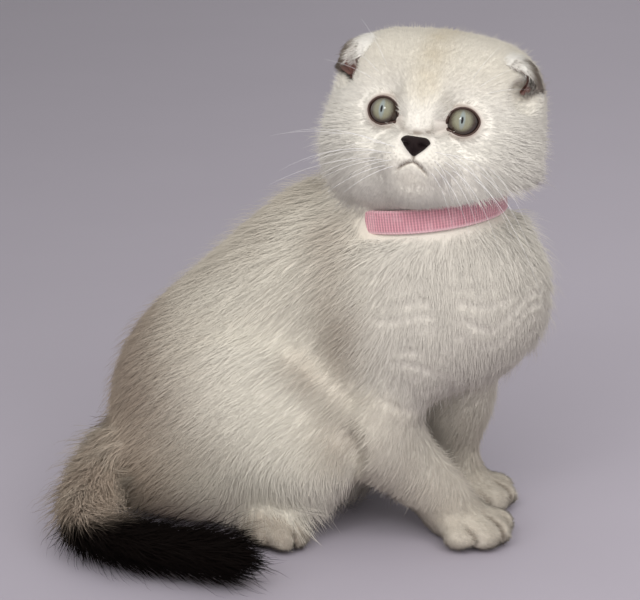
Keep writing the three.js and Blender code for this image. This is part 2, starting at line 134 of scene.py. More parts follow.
class KittenFace(bpy.types.PropertyGroup):
    eye_radius: length("Eye radius", "Radius of the eyeball", 0.009)
    eye_wide: length("Eye opening width", "Half width of the opening between the lids", 0.0066)
    eye_tall: length("Eye opening height", "Half height of the opening between the lids", 0.0057)
    pupil: length("Pupil", "Half width of the slit pupil", 0.00046)
    iris: colour("Iris", "Middle of the iris", (0.20, 0.195, 0.14))
    iris_edge: colour("Iris edge", "Rim of the iris", (0.038, 0.023, 0.016))
    # the rays are the iris's own; the lighter lower half this colour lays is painted light
    iris_ray_and_lit_half: colour("Iris rays", "Pale rays and lower half of the iris", (0.30, 0.285, 0.175))
    # the rim colour also lays the upper lid's painted shadow over the eyeball
    rim: colour("Eye rim", "Bare skin round the eye", (0.036, 0.019, 0.014))
    rim_radius: length("Eye rim radius", "Half thickness of the bare skin round the eye", 0.00046)
    nose: colour("Nose", "Nose leather", (0.008, 0.005, 0.005))
    pink: colour("Pink skin", "Bare skin of lips and ears", (0.17, 0.085, 0.07))
    lips: colour("Lips", "The line between the lips", (0.10, 0.055, 0.05))
    whisker: colour("Whisker", "Whiskers", (0.85, 0.83, 0.82))


class KittenCoat(bpy.types.PropertyGroup):
    tufts: bpy.props.IntProperty(
        name="Tufts", description="Tufts over the whole coat", default=235000, min=1000, max=400000
    )
    white: colour("White", "Face, chest and paws", (0.80, 0.765, 0.70))
    # cream also darkens the top of the head as painted shade
    cream: colour("Cream", "Flanks and legs", (0.78, 0.72, 0.60))
    tan: colour("Tan", "Stripe of the brow", (0.63, 0.55, 0.41))
    # grey also lays painted shade on the forelegs and paws, in the toe gaps, over the far foreleg, partly over
    # the thigh's ridge, under the chin and over the top of the head; dark deepens the painted shadow in the toe
    # gaps
    grey: colour("Grey", "Ticked back", (0.27, 0.215, 0.168))
    dark: colour("Dark", "Tail and ear backs", (0.0045, 0.003, 0.0025))


class KittenCollar(bpy.types.PropertyGroup):
    radius: length("Radius", "Outside of the band across the neck", 0.0315)
    stretch: share("Stretch", "Front to back over side to side", 1.08, 0.5, 2.0)
    height: length("Height", "Width of the webbing", 0.010)
    thickness: length("Thickness", "Thickness of the webbing", 0.0018)
    pink: colour("Webbing", "Woven webbing", (0.745, 0.355, 0.405))
    edge: colour("Edge", "Paler selvedge", (0.82, 0.52, 0.55))


class KittenStage(bpy.types.PropertyGroup):
    floor: colour("Floor", "Plain floor", (0.358, 0.326, 0.369))
    sky: colour("Room", "Light of the room", (0.93, 0.93, 0.935))
    strength: share("Room light", "Strength of the room's light", 0.68)
    key: bpy.props.FloatProperty(
        name="Key light", description="Power of the large soft light", default=18.5, min=0.0,
        unit="POWER",
    )
    distance: length("Camera distance", "From the camera to the kitten", 1.05, 0.1, 10.0)


# Shader maths


def maths(operation, swapped=False):
    """One of Python's operators as a Math node; its reflected form has the two values swapped."""

    def work(value, other):
        pair = (other, value) if swapped else (value, other)
        return value.finish.node("ShaderNodeMath", {"operation": operation}, dict(enumerate(pair)))

    return work


class Value:
    """A shader socket that Python's own operators can work on."""

    def __init__(self, finish, socket):
        self.finish, self.socket = finish, socket

    def sine(self):
        return self.finish.node("ShaderNodeMath", {"operation": "SINE"}, {0: self})

    __add__, __radd__ = maths("ADD"), maths("ADD", True)
    __sub__, __rsub__ = maths("SUBTRACT"), maths("SUBTRACT", True)
    __mul__, __rmul__ = maths("MULTIPLY"), maths("MULTIPLY", True)
    __truediv__, __rtruediv__ = maths("DIVIDE"), maths("DIVIDE", True)
    __pow__, __rpow__ = maths("POWER"), maths("POWER", True)


class Finish:
    """A material whose nodes come from one method."""

    def __init__(self, name):
        self.material = bpy.data.materials.new(name)
        self.material.use_nodes = True
        self.tree = self.material.node_tree
        self.shader = self.tree.nodes["Principled BSDF"]

    def node(self, kind, settings=None, inputs=None, output=0):
        made = self.tree.nodes.new(kind)
        for key, value in (settings or {}).items():
            if key == "stops":
                ramp = made.color_ramp.elements
                while len(ramp) < len(value):
                    ramp.new(0.5)
                for stop, (place, tint) in zip(ramp, value):
                    stop.position, stop.color = place, (*tint, 1) if len(tint) == 3 else tint
            else:
                setattr(made, key, value)
        for key, value in (inputs or {}).items():
            self.feed(made.inputs[key], value)
        return Value(self, made.outputs[output])

    def feed(self, socket, value):
        if isinstance(value, Value):
            self.tree.links.new(value.socket, socket)
        elif hasattr(socket.default_value, "__len__") and len(value) == 3:
            wide = len(socket.default_value) == 4
            socket.default_value = (*value, 1) if wide else tuple(value)
        else:
            socket.default_value = value

    def attribute(self, name, output="Fac"):
        return self.node("ShaderNodeAttribute", {"attribute_name": name}, output=output)

    def place(self, centre=(0, 0, 0), turn=(0, 0, 0), scale=(1, 1, 1)):
        """Object coordinates about a centre, turned to a piece's own frame."""
        here = self.node("ShaderNodeTexCoord", output="Object")
        return self.node(
            "ShaderNodeMapping", {"vector_type": "TEXTURE"},
            {"Vector": here, "Location": centre, "Rotation": turn, "Scale": scale},
        )

    def split(self, value, kind="XYZ"):
        """The three parts of a vector, or of a colour."""
        made = self.tree.nodes.new(f"ShaderNodeSeparate{kind}")
        self.feed(made.inputs[0], value)
        return [Value(self, socket) for socket in made.outputs]

    def noise(self, where, scale, detail=3.0):
        return self.node(
            "ShaderNodeTexNoise", {},
            {"Vector": where, "Scale": scale, "Detail": detail, "Roughness": 0.55},
        )

    def step(self, value, low, high, first=0.0, last=1.0):
        return self.node(
            "ShaderNodeMapRange", {"interpolation_type": "SMOOTHSTEP"},
            {"Value": value, "From Min": low, "From Max": high, "To Min": first, "To Max": last},
        )

    def blend(self, factor, first, second, way="MIX"):
        """Mixes two colours."""
        made = self.tree.nodes.new("ShaderNodeMix")
        made.data_type, made.blend_type = "RGBA", way
        for socket, value in zip([made.inputs[i] for i in (0, 6, 7)], (factor, first, second)):
            self.feed(socket, value)
        return Value(self, made.outputs[2])

    def bump(self, height, distance, strength=1.0):
        return self.node(
            "ShaderNodeBump", {}, {"Height": height, "Distance": distance, "Strength": strength}
        )

    def surface(self, **sockets):
        for name, value in sockets.items():
            self.feed(self.shader.inputs[name.replace("_", " ")], value)
        return self.material


def times(colour, by):
    return [min(1, part * by) for part in colour]


# Mesh helpers


def numbers_of(items, key, wide, kind=float):
    """What each of a mesh's points, edges or corners says, as rows of numbers."""
    found = np.empty(len(items) * wide, kind)
    items.foreach_get(key, found)
    return found.reshape(-1, wide)


def points_of(mesh):
    return numbers_of(mesh.vertices, "co", 3)


def normals_of(mesh):
    return numbers_of(mesh.vertex_normals, "vector", 3)


def edges_of(mesh):
    return numbers_of(mesh.edges, "vertices", 2, int)


def move_points(mesh, places):
    mesh.vertices.foreach_set("co", places.ravel())
    mesh.update()


def eased(values, pairs, rounds, keep=None):
    """Values at a mesh's points, each drawn towards the mean of its neighbours."""
    count = len(values)
    flat = values.reshape(count, -1).astype(float)
    near = np.bincount(pairs.ravel(), minlength=count).clip(1)[:, None]
    pull = 0.5 if keep is None else (0.5 * (1 - keep))[:, None]
    for _ in range(rounds):
        total = np.empty_like(flat)
        for column in range(flat.shape[1]):
            line = flat[:, column]
            total[:, column] = np.bincount(pairs[:, 0], line[pairs[:, 1]], count)
            total[:, column] += np.bincount(pairs[:, 1], line[pairs[:, 0]], count)
        flat += (total / near - flat) * pull
    return flat.reshape(values.shape)


def unit(ways):
    return ways / np.linalg.norm(ways, axis=-1, keepdims=True).clip(1e-9)


def ramp(value, low, high):
    t = np.clip((value - low) / (high - low), 0, 1)
    return t * t * (3 - 2 * t)


def ripple(places, scale):
    """Smooth noise at each point."""
    return np.array([noise.noise(Vector(p)) for p in places * scale])


def blot(across, up, middle, size):
    """A soft oval spot, 1 in its middle."""
    return np.exp(-(((across - middle[0]) / size[0]) ** 2) - ((up - middle[1]) / size[1]) ** 2)


def named(part, *starts):
    """Which points belong to the flesh nodes whose names start so."""
    return np.isin(part, [i for i, name in enumerate(FLESH) if name.startswith(starts)])


def raised(values, where, amount):
    """Values that are at least an amount in one place, and as they were elsewhere."""
    return np.where(where, np.maximum(values, amount), values)


def in_head(places):
    """Points in the head's own frame, in millimetres."""
    return (places - np.array(HEAD_SPOT)) @ HEAD_TURN / MM


def out_of_head(places):
    return places * MM @ HEAD_TURN.T + np.array(HEAD_SPOT)


def linked(name, data):
    made = bpy.data.objects.new(name, data)
    bpy.context.scene.collection.objects.link(made)
    return made


def new_piece(name, mesh, material):
    piece = linked(name, mesh)
    mesh.materials.append(material)
    mesh.shade_smooth()
    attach(piece, "root")
    return piece


def mesh_of(bm, name):
    mesh = bpy.data.meshes.new(name)
    bm.to_mesh(mesh)
    bm.free()
    return mesh


def closed_mesh(bm, name):
    """A mesh with its doubled points merged and its faces turned outwards."""
    bmesh.ops.remove_doubles(bm, verts=bm.verts, dist=1e-7)
    bmesh.ops.recalc_face_normals(bm, faces=bm.faces)
    return mesh_of(bm, name)


def line_through(points, steps):
    """Points along a smooth line through the given ones."""
    given = np.array(points, float)
    ends = np.vstack([2 * given[0] - given[1], given, 2 * given[-1] - given[-2]])
    out = []
    for t in np.linspace(0, len(given) - 1, steps):
        i = min(int(t), len(given) - 2)
        u = t - i
        a, b, c, d = ends[i : i + 4]
        out.append(0.5 * (2 * b + (c - a) * u + (2 * a - 5 * b + 4 * c - d) * u**2
                          + (3 * b - a - 3 * c + d) * u**3))
    return np.array(out)


def strands(paths, radii, across=5):
    """Tapered round strands, one along each path of points, as one mesh."""
    many, steps = paths.shape[:2]
    along = unit(np.gradient(paths, axis=1))
    aside = unit(np.cross(along, np.array([0.3, 0.5, 0.81])))
    over = np.cross(along, aside)
    turns = np.linspace(0, 2 * math.pi, across, endpoint=False)
    ring = (
        aside[:, :, None] * np.cos(turns)[None, None, :, None]
        + over[:, :, None] * np.sin(turns)[None, None, :, None]
    )
    places = (paths[:, :, None] + ring * radii[:, :, None, None]).reshape(-1, 3)
    faces = []
    for n in range(many):
        base = n * steps * across
        for s in range(steps - 1):
            for k in range(across):
                a, b = base + s * across + k, base + s * across + (k + 1) % across
                faces.append((a, b, b + across, a + across))
        faces.append(tuple(base + k for k in reversed(range(across))))
        faces.append(tuple(base + (steps - 1) * across + k for k in range(across)))
    mesh = bpy.data.meshes.new("strands")
    mesh.from_pydata(places.tolist(), [], faces)
    bm = bmesh.new()
    bm.from_mesh(mesh)
    bmesh.ops.recalc_face_normals(bm, faces=bm.faces)
    bm.to_mesh(mesh)
    bm.free()
    return mesh


# Eye openings

EYE_SPOTS = {side: np.array([sign * 15.19, -25.0, 1.5]) for side, sign in SIDES}
# The corners of the lids' opening, from the side away from the nose: angle, depth in millimetres and width.
INNER_CORNER = (math.radians(205), 1.7, 0.26)
OUTER_CORNER = (math.radians(8), 0.5, 0.35)
LID_REACH = 7  # how far past the opening the lids go, in millimetres
LID_UNDER = 0.9  # how far the skin goes under the eyeball's surface where the lids are open


def eye_frame(side):
    """Across, up and out of an eye, in the head's frame; across points away from the nose."""
    sign = -1 if side == "right" else 1
    out = unit(np.array([sign * 0.16, -1.0, 0.02]))
    away = unit(np.cross(out, np.array([0, 0, 1.0])) * -sign)
    up = np.cross(away, out) * sign
    if up[2] < 0:
        up = -up
    return away, up, out


def corner(turn, place, deep, wide):
    """How much a corner adds to the opening at an angle."""
    off = np.angle(np.exp(1j * (turn - place)))
    return deep * np.exp(-((off / wide) ** 2))


def opening(turn, face):
    """Half size of the lids' opening, in millimetres, at an angle that starts away from the nose."""
    wide, tall = face.eye_wide / MM, face.eye_tall / MM
    plain = 1 / np.sqrt((np.cos(turn) / wide) ** 2 + (np.sin(turn) / tall) ** 2)
    return plain + corner(turn, *INNER_CORNER) + corner(turn, *OUTER_CORNER)


def near_eyes(head, near, far):
    """1 within a distance of either eye's middle, and 0 beyond a farther one."""
    close = np.zeros(len(head))
    for spot in EYE_SPOTS.values():
        close = np.maximum(close, 1 - ramp(np.linalg.norm(head - spot, axis=1), near, far))
    return close


def past_lids(head, side, face):
    """How far each point lies past the lids' opening, its distance from the eye and its way from there."""
    away, up, out = eye_frame(side)
    from_eye = head - EYE_SPOTS[side]
    far = np.linalg.norm(from_eye, axis=1)
    x, y, z = from_eye @ away, from_eye @ up, from_eye @ out
    arc = np.arctan2(np.hypot(x, y), z) * face.eye_radius / MM
    return arc - opening(np.arctan2(y, x), face), far, from_eye


def lids(places, face, lid):
    """Draws the skin round each eyeball, and under it where the lids are open."""
    head = in_head(places)
    eye = face.eye_radius / MM
    for side, _ in SIDES:
        past, far, from_eye = past_lids(head, side, face)
        lid_top = eye + lid / MM * (1 + 0.5 * np.exp(-(((past - 1.2) / 1.0) ** 2)))
        outside = lid_top + (far - lid_top) * ramp(past, 0.8, 6.0)
        outside = np.where(past < LID_REACH, np.maximum(outside, eye + 0.5), far)
        edge = ramp(past, -0.35, 0.15)
        wanted = (eye - LID_UNDER) * (1 - edge) + outside * edge
        moved = EYE_SPOTS[side] + from_eye * (wanted / far.clip(1e-6))[:, None]
        head = np.where(((far < eye + 9) & (past < LID_REACH))[:, None], moved, head)
    return out_of_head(head)


# Skin

TAIL_STEPS = 60


def tail_line(steps=TAIL_STEPS):
    return line_through(TAIL_POINTS, steps) * MM


def from_tail_root(places):
    """Distance in millimetres from the root half of the tail's line."""
    line = tail_line()[: TAIL_STEPS // 2]
    return np.min(np.linalg.norm(places[:, None] - line[None], axis=2), axis=1) / MM


def along_tail(places):
    """Which of the tail line's points is the nearest."""
    return np.argmin(np.linalg.norm(places[:, None] - tail_line()[None], axis=2), axis=1)


# Where the rump's fat fills the corner over the root of the tail: place and radius in millimetres.
RUMP = (((-19, 74, 45), 13), ((-41, 62, 33), 12), ((-30, 69, 30), 14))
TAIL_BALLS = 110  # along the tail, which make its flesh


def joined_flesh(skin):
    """The flesh solids swollen over their seams, with the eyes, the nose and a plain tail."""
    bm = bmesh.new()
    for name in FLESH + ("eye_right", "eye_left", "nose"):
        if name in TAIL or name.startswith("ear"):
            continue
        part = bmesh.new()
        part.from_mesh(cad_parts[name].data)
        bmesh.ops.remove_doubles(part, verts=part.verts, dist=1e-6)
        part.normal_update()
        for vert in part.verts:
            vert.co += vert.normal * skin.seam
        loose = mesh_of(part, name)
        bm.from_mesh(loose)
        bpy.data.meshes.remove(loose)
    for i, spot in enumerate(tail_line(TAIL_BALLS)):
        size = skin.tail_core * (1 + 0.7 * (1 - ramp(i / (TAIL_BALLS - 1), 0.0, 0.6)))
        bmesh.ops.create_icosphere(
            bm, subdivisions=2, radius=size, matrix=Matrix.Translation(spot)
        )
    for spot, size in RUMP:
        bmesh.ops.create_icosphere(
            bm, subdivisions=3, radius=size * MM, matrix=Matrix.Translation(Vector(spot) * MM)
        )
    return mesh_of(bm, "flesh")


# The left ear's flap in the head's frame: where it leaves the skull, its crest and its free edge, each from
# the brow to the back of the head.
EAR_LINES = (
    ((22.9, -15.9, 33.6), (28, -6, 35.5), (35, 0, 31), (41, 2, 25), (43, 1, 19)),
    ((25.7, -19.9, 30.1), (29.4, -18, 29.9), (33.6, -17.1, 28.5), (37.5, -17.5, 26), (40.6, -16.5, 22.3),
     (42.6, -13, 18.5)),
    ((26.9, -22.2, 27.9), (30.3, -21.6, 26.4), (33.7, -20.1, 24.9), (36.8, -17.6, 23.6), (39.9, -14.3, 21.8),
     (42.4, -12, 19)),
)
# How high each of the three lines stands over the skull, and how far it is moved up, by the ear's side.
EAR_LIFTS = {-1: (-1.2, 4.2, 3.0), 1: (-1.2, 2.2, 2.2)}
EAR_DROP = {-1: (0.0, -3.2, -5.0), 1: (0.0, 0.6, 1.4)}
EAR_ROOT = -1.2  # depth of the flap's ends under the skull's surface
EAR_GRID = (41, 25)  # points along the flap and across it
EAR_OPENING = np.array([37.2, -17.8, 15.6])
EAR_HOLLOW = np.array([8.0, 7.0, 7.2])  # radii of the hollow under a flap
HOLLOW_DEPTH = 6.5
SKULL_MIDDLE = np.array([0.0, -2.0, 2.0])
RAY_START = 0.08  # metres from the skull's middle, outside the head


def ear_flap(tree, sign):
    """One folded ear: outer points, then inner points, of a flap that follows the skull, and its faces."""
    wide, tall = EAR_GRID
    mirror = np.array([sign, 1, 1])
    start = HEAD @ (Vector(SKULL_MIDDLE) * MM)
    lines = np.array([
        line_through(line, wide) + [0, 0, drop] for line, drop in zip(EAR_LINES, EAR_DROP[sign])
    ])
    span = np.linspace(0, 1, wide)
    ends = np.minimum((span / 0.55) ** 0.7, ((1 - span) / 0.07) ** 0.5).clip(0, 1)
    outer, inner, spread = [], [], []
    for across in np.linspace(0, 1, tall):
        if across < 0.5:
            line = lines[0] + (lines[1] - lines[0]) * across * 2
        else:
            line = lines[1] + (lines[2] - lines[1]) * (across * 2 - 1)
        lift = np.interp(across, (0, 0.5, 1), EAR_LIFTS[sign]) + 0.7 * math.sin(math.pi * across)
        for spot, end in zip(line * mirror, ends):
            way = Vector(HEAD_TURN @ unit(spot - SKULL_MIDDLE))
            found, normal = tree.ray_cast(start + way * RAY_START, -way)[:2]
            high = EAR_ROOT + (lift - EAR_ROOT) * end
            outer.append(np.array(found) + np.array(normal) * high * MM)
            inner.append(np.array(found) + np.array(normal) * (high - 0.5 - 0.8 * end) * MM)
        spread += [(across, along) for along in span]
    count = wide * tall
    faces = []
    for j in range(tall - 1):
        for i in range(wide - 1):
            a = j * wide + i
            faces.append((a, a + 1, a + wide + 1, a + wide))
            faces.append((count + a, count + a + wide, count + a + wide + 1, count + a + 1))
    border = list(range(wide)) + [j * wide + wide - 1 for j in range(1, tall)]
    border += [(tall - 1) * wide + i for i in range(wide - 2, -1, -1)]
    border += [j * wide for j in range(tall - 2, 0, -1)]
    for a, b in zip(border, border[1:] + border[:1]):
        faces.append((b, a, count + a, count + b))
    if sign > 0:
        faces = [face[::-1] for face in faces]
    return np.array(outer + inner), faces, np.array(spread + spread)


def ear_hollow(head):
    """How near each point is to the hollow under an ear's flap, from 0 to 1."""
    inside = np.zeros(len(head))
    for _, sign in SIDES:
        spot = EAR_OPENING * [sign, 1, 1]
        far = np.linalg.norm((head - spot) / EAR_HOLLOW, axis=1)
        inside = np.maximum(inside, 1 - ramp(far, 0.45, 1.05))
    return inside


def with_ears(mesh, tree):
    """Adds both ears' flaps to the skin; how many points it had, and which ones are inside a flap."""
    own = len(mesh.vertices)
    bm = bmesh.new()
    bm.from_mesh(mesh)
    inside = np.zeros(own, bool)
    flaps = [np.full((own, 2), -1.0)]
    for _, sign in SIDES:
        places, faces, spread = ear_flap(tree, sign)
        flaps.append(spread)
        flap = bpy.data.meshes.new("ear")
        flap.from_pydata(places.tolist(), [], faces)
        bm.from_mesh(flap)
        bpy.data.meshes.remove(flap)
        inside = np.append(inside, np.arange(len(places)) >= len(places) // 2)
    bm.to_mesh(mesh)
    bm.free()
    Skin.flap = np.concatenate(flaps)
    return own, inside


def remeshed(mesh, voxel):
    flesh = linked("flesh", mesh)
    remesh = flesh.modifiers.new("skin", "REMESH")
    remesh.mode, remesh.voxel_size, remesh.adaptivity = "VOXEL", voxel, 0
    shown = flesh.evaluated_get(bpy.context.evaluated_depsgraph_get())
    made = bpy.data.meshes.new_from_object(shown)
    bpy.data.objects.remove(flesh)
    return made


def nearest_parts(places):
    """The flesh node nearest each point, as its place in FLESH."""
    corners, faces, owner = [], [], []
    start = 0
    for i, name in enumerate(FLESH):
        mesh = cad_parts[name].data
        corners.extend(v.co.copy() for v in mesh.vertices)
        faces.extend([[start + k for k in p.vertices] for p in mesh.polygons])
        owner.extend([i] * len(mesh.polygons))
        start += len(mesh.vertices)
    tree = BVHTree.FromPolygons(corners, faces)
    owner = np.array(owner)
    found = [tree.find_nearest(Vector(p))[2] for p in places]
    return owner[np.array(found)]


def refined(mesh):
    """More points about the eyes, nose and mouth."""
    bm = bmesh.new()
    bm.from_mesh(mesh)
    back = HEAD.inverted()
    for aside, front, low, high in ((31, -16, -36, 14), (29, -19, -34, 12)):
        edges = []
        for edge in bm.edges:
            p = back @ ((edge.verts[0].co + edge.verts[1].co) / 2) / MM
            if abs(p.x) < aside and p.y < front and low < p.z < high:
                edges.append(edge)
        bmesh.ops.subdivide_edges(bm, edges=edges, cuts=1, use_grid_fill=True, smooth=0.0)
    bmesh.ops.triangulate(bm, faces=[f for f in bm.faces if len(f.verts) > 4])
    bm.normal_update()
    bm.to_mesh(mesh)
    bm.free()


def carve_line(head, points, wide, deep):
    """How far each point sinks into a furrow along points (x, z), on the face's front."""
    best = np.full(len(head), 1e9)
    path = np.array(points, float)
    for a, b in zip(path[:-1], path[1:]):
        way = b - a
        t = np.clip(((head[:, [0, 2]] - a) @ way) / (way @ way), 0, 1)
        best = np.minimum(best, np.linalg.norm(head[:, [0, 2]] - (a + t[:, None] * way), axis=1))
    return deep * np.exp(-((best / wide) ** 2)) * ramp(-head[:, 1], 12, 24)


MOUTH = [[(0, -13), (0, -16.8)]] + [
    [(0, -16.6), (s * 2.2, -17.5), (s * 4.4, -19.0), (s * 6.6, -21.0)]
    for s in (-1, 1)
]


MOUTH_SIZES = ((0.7, 0.9), (0.75, 1.3), (0.75, 1.3))  # width and depth of each line


def furrows(head):
    """Depth of the mouth's lines, in millimetres."""
    sunk = np.zeros(len(head))
    for path, (wide, deep) in zip(MOUTH, MOUTH_SIZES):
        fade = 1 - 0.85 * ramp(np.abs(head[:, 0]), 4.0, 7.4)
        sunk = np.maximum(sunk, carve_line(head, path, wide, deep) * fade)
    return sunk


# Where the gaps between the toes run, across the paw, and their width and depth, in millimetres.
TOE_GAPS = {"hind": (-12.5, 0.0, 12.5), "front": (-11.0, 3.0, 13.5)}
TOE_GAP_WIDE, TOE_GAP_DEEP = 1.1, 1.9


def toe_gaps(places, part):
    """Depth of the gaps between toes, in metres."""
    deep = np.zeros(len(places))
    for name, (spot, heading) in PAWS.items():
        here = named(part, name)
        turn = math.radians(-heading)
        local = places[:, :2] / MM - np.array(spot)
        across = local[:, 0] * math.cos(turn) - local[:, 1] * math.sin(turn)
        forward = local[:, 0] * math.sin(turn) + local[:, 1] * math.cos(turn)
        for gap in TOE_GAPS["hind" if "hind" in name else "front"]:
            lean = gap * (1 - 0.1 * ramp(-forward, 5, 16))
            cut = np.exp(-(((across - lean) / TOE_GAP_WIDE) ** 2)) * ramp(-forward, 8, 15)
            deep = np.maximum(deep, cut * here * TOE_GAP_DEEP)
    return deep * MM


CREASE = 6.6  # millimetres between the partings of the chest
CREASE_RELIEF = 0.9  # how far a row stands over the next one

# What each part's coat is like: depth over the skin, length and width in millimetres, tufts over a square
# centimetre, how far clumps draw together, and how wildly tufts stray.
PARTS = {
    "head": (2.0, 6.0, 0.26, 560, 0.15, 0.10),
    "ear": (1.1, 4.0, 0.22, 760, 0.15, 0.2),
    "neck": (2.8, 11.0, 0.34, 215, 0.1, 0.07),
    "torso": (2.3, 11.0, 0.31, 225, 0.08, 0.07),
    "leg_front": (2.0, 7.5, 0.31, 260, 0.15, 0.09),
    "paw_front": (1.2, 3.4, 0.27, 560, 0.1, 0.3),
    "leg_hind": (2.3, 11.0, 0.31, 225, 0.08, 0.07),
    "paw_hind": (1.2, 3.4, 0.27, 560, 0.1, 0.3),
    "tail": (6.4, 15.0, 0.34, 330, 0.25, 0.12),
}


def part_row(name):
    """A part's row of PARTS, and 0 for the wisps, which only some places have."""
    return next((*row, 0.0) for key, row in PARTS.items() if name.startswith(key))


def lie_of_fur(places, normals, part, pairs):
    """The way the coat lies at each point of the skin."""
    head, mm = in_head(places), places / MM
    ways = np.zeros_like(places)
    for i, name in enumerate(FLESH):
        here = part == i
        p, h = mm[here], head[here]
        if name == "head":
            way = h - np.array([0, -36, -9.0])
            way[:, 1] += 16
            way[:, 2] -= 10 * ramp(np.abs(h[:, 0]), 8, 30) + 6 * ramp(-h[:, 2], 8, 20)
            ways[here] = unit(way) @ HEAD_TURN.T
        elif name.startswith("ear"):
            sign = -1 if name.endswith("right") else 1
            ways[here] = unit(np.array([sign * 0.7, 0.05, -0.65])) @ HEAD_TURN.T
        elif name == "neck":
            front = ramp(-normals[here][:, 1], -0.3, 0.6)[:, None]
            ways[here] = front * [0, -0.1, -1] + (1 - front) * [0, 0.8, -0.55]
        elif name == "torso":
            up = ramp(normals[here][:, 2], 0.2, 0.8)[:, None]
            front = ramp(-p[:, 1], 35, 70)[:, None]
            belly = ramp(-p[:, 2], -45, -25) * ramp(-p[:, 1], -5, 15)
            rump = ramp(-from_tail_root(places[here]), -34, -12) * ramp(p[:, 1], 30, 55)
            side, back = np.array([0, 0.7, -0.75]), np.array([0, 0.72, -0.7])
            way = side * (1 - up) + back * up
            way = way + np.array([0, -1.0, 0]) * belly[:, None]
            way = way + np.array([-1.1, 0, 0]) * rump[:, None]
            ways[here] = way * (1 - front) + np.array([0, 0.0, -1.0]) * front
        elif name.startswith("leg_front"):
            ways[here] = [0, 0.7, -0.8]
        elif name.startswith("leg_hind"):
            behind = np.maximum(ramp(p[:, 1], -8, 30), ramp(p[:, 2], 26, 50))[:, None]
            ways[here] = np.array([0, -0.4, -1]) * (1 - behind) + np.array([0, 0.75, -0.7]) * behind
        elif name.startswith("paw"):
            heading = math.radians(PAWS[name][1])
            ways[here] = [math.sin(heading), -math.cos(heading), -0.25]
        else:
            ways[here] = unit(np.gradient(tail_line(), axis=0))[along_tail(places[here])]
    ways = eased(unit(ways), pairs, 14)
    ways -= normals * np.sum(ways * normals, axis=1, keepdims=True)
    return unit(ways)


# Darker bands down behind the shoulder and the near foreleg, over the far foreleg as painted shade, and along
# the thigh's front, partly a tan band and partly painted shade over the bright ridge where the thigh meets the
# flank: both ends, reach and depth.
BANDS = (
    ((-30, -24, 142), (-42, -33, 100), 14, 0.4),
    ((-42, -33, 100), (-44, -31, 50), 11, 0.5),
    ((40, -40, 90), (38, -44, 40), 12, 0.5),
    ((-39, -12, 82), (-46, -28, 68), 6, 0.5),
    ((-46, -28, 68), (-41, -37, 50), 6, 0.5),
)


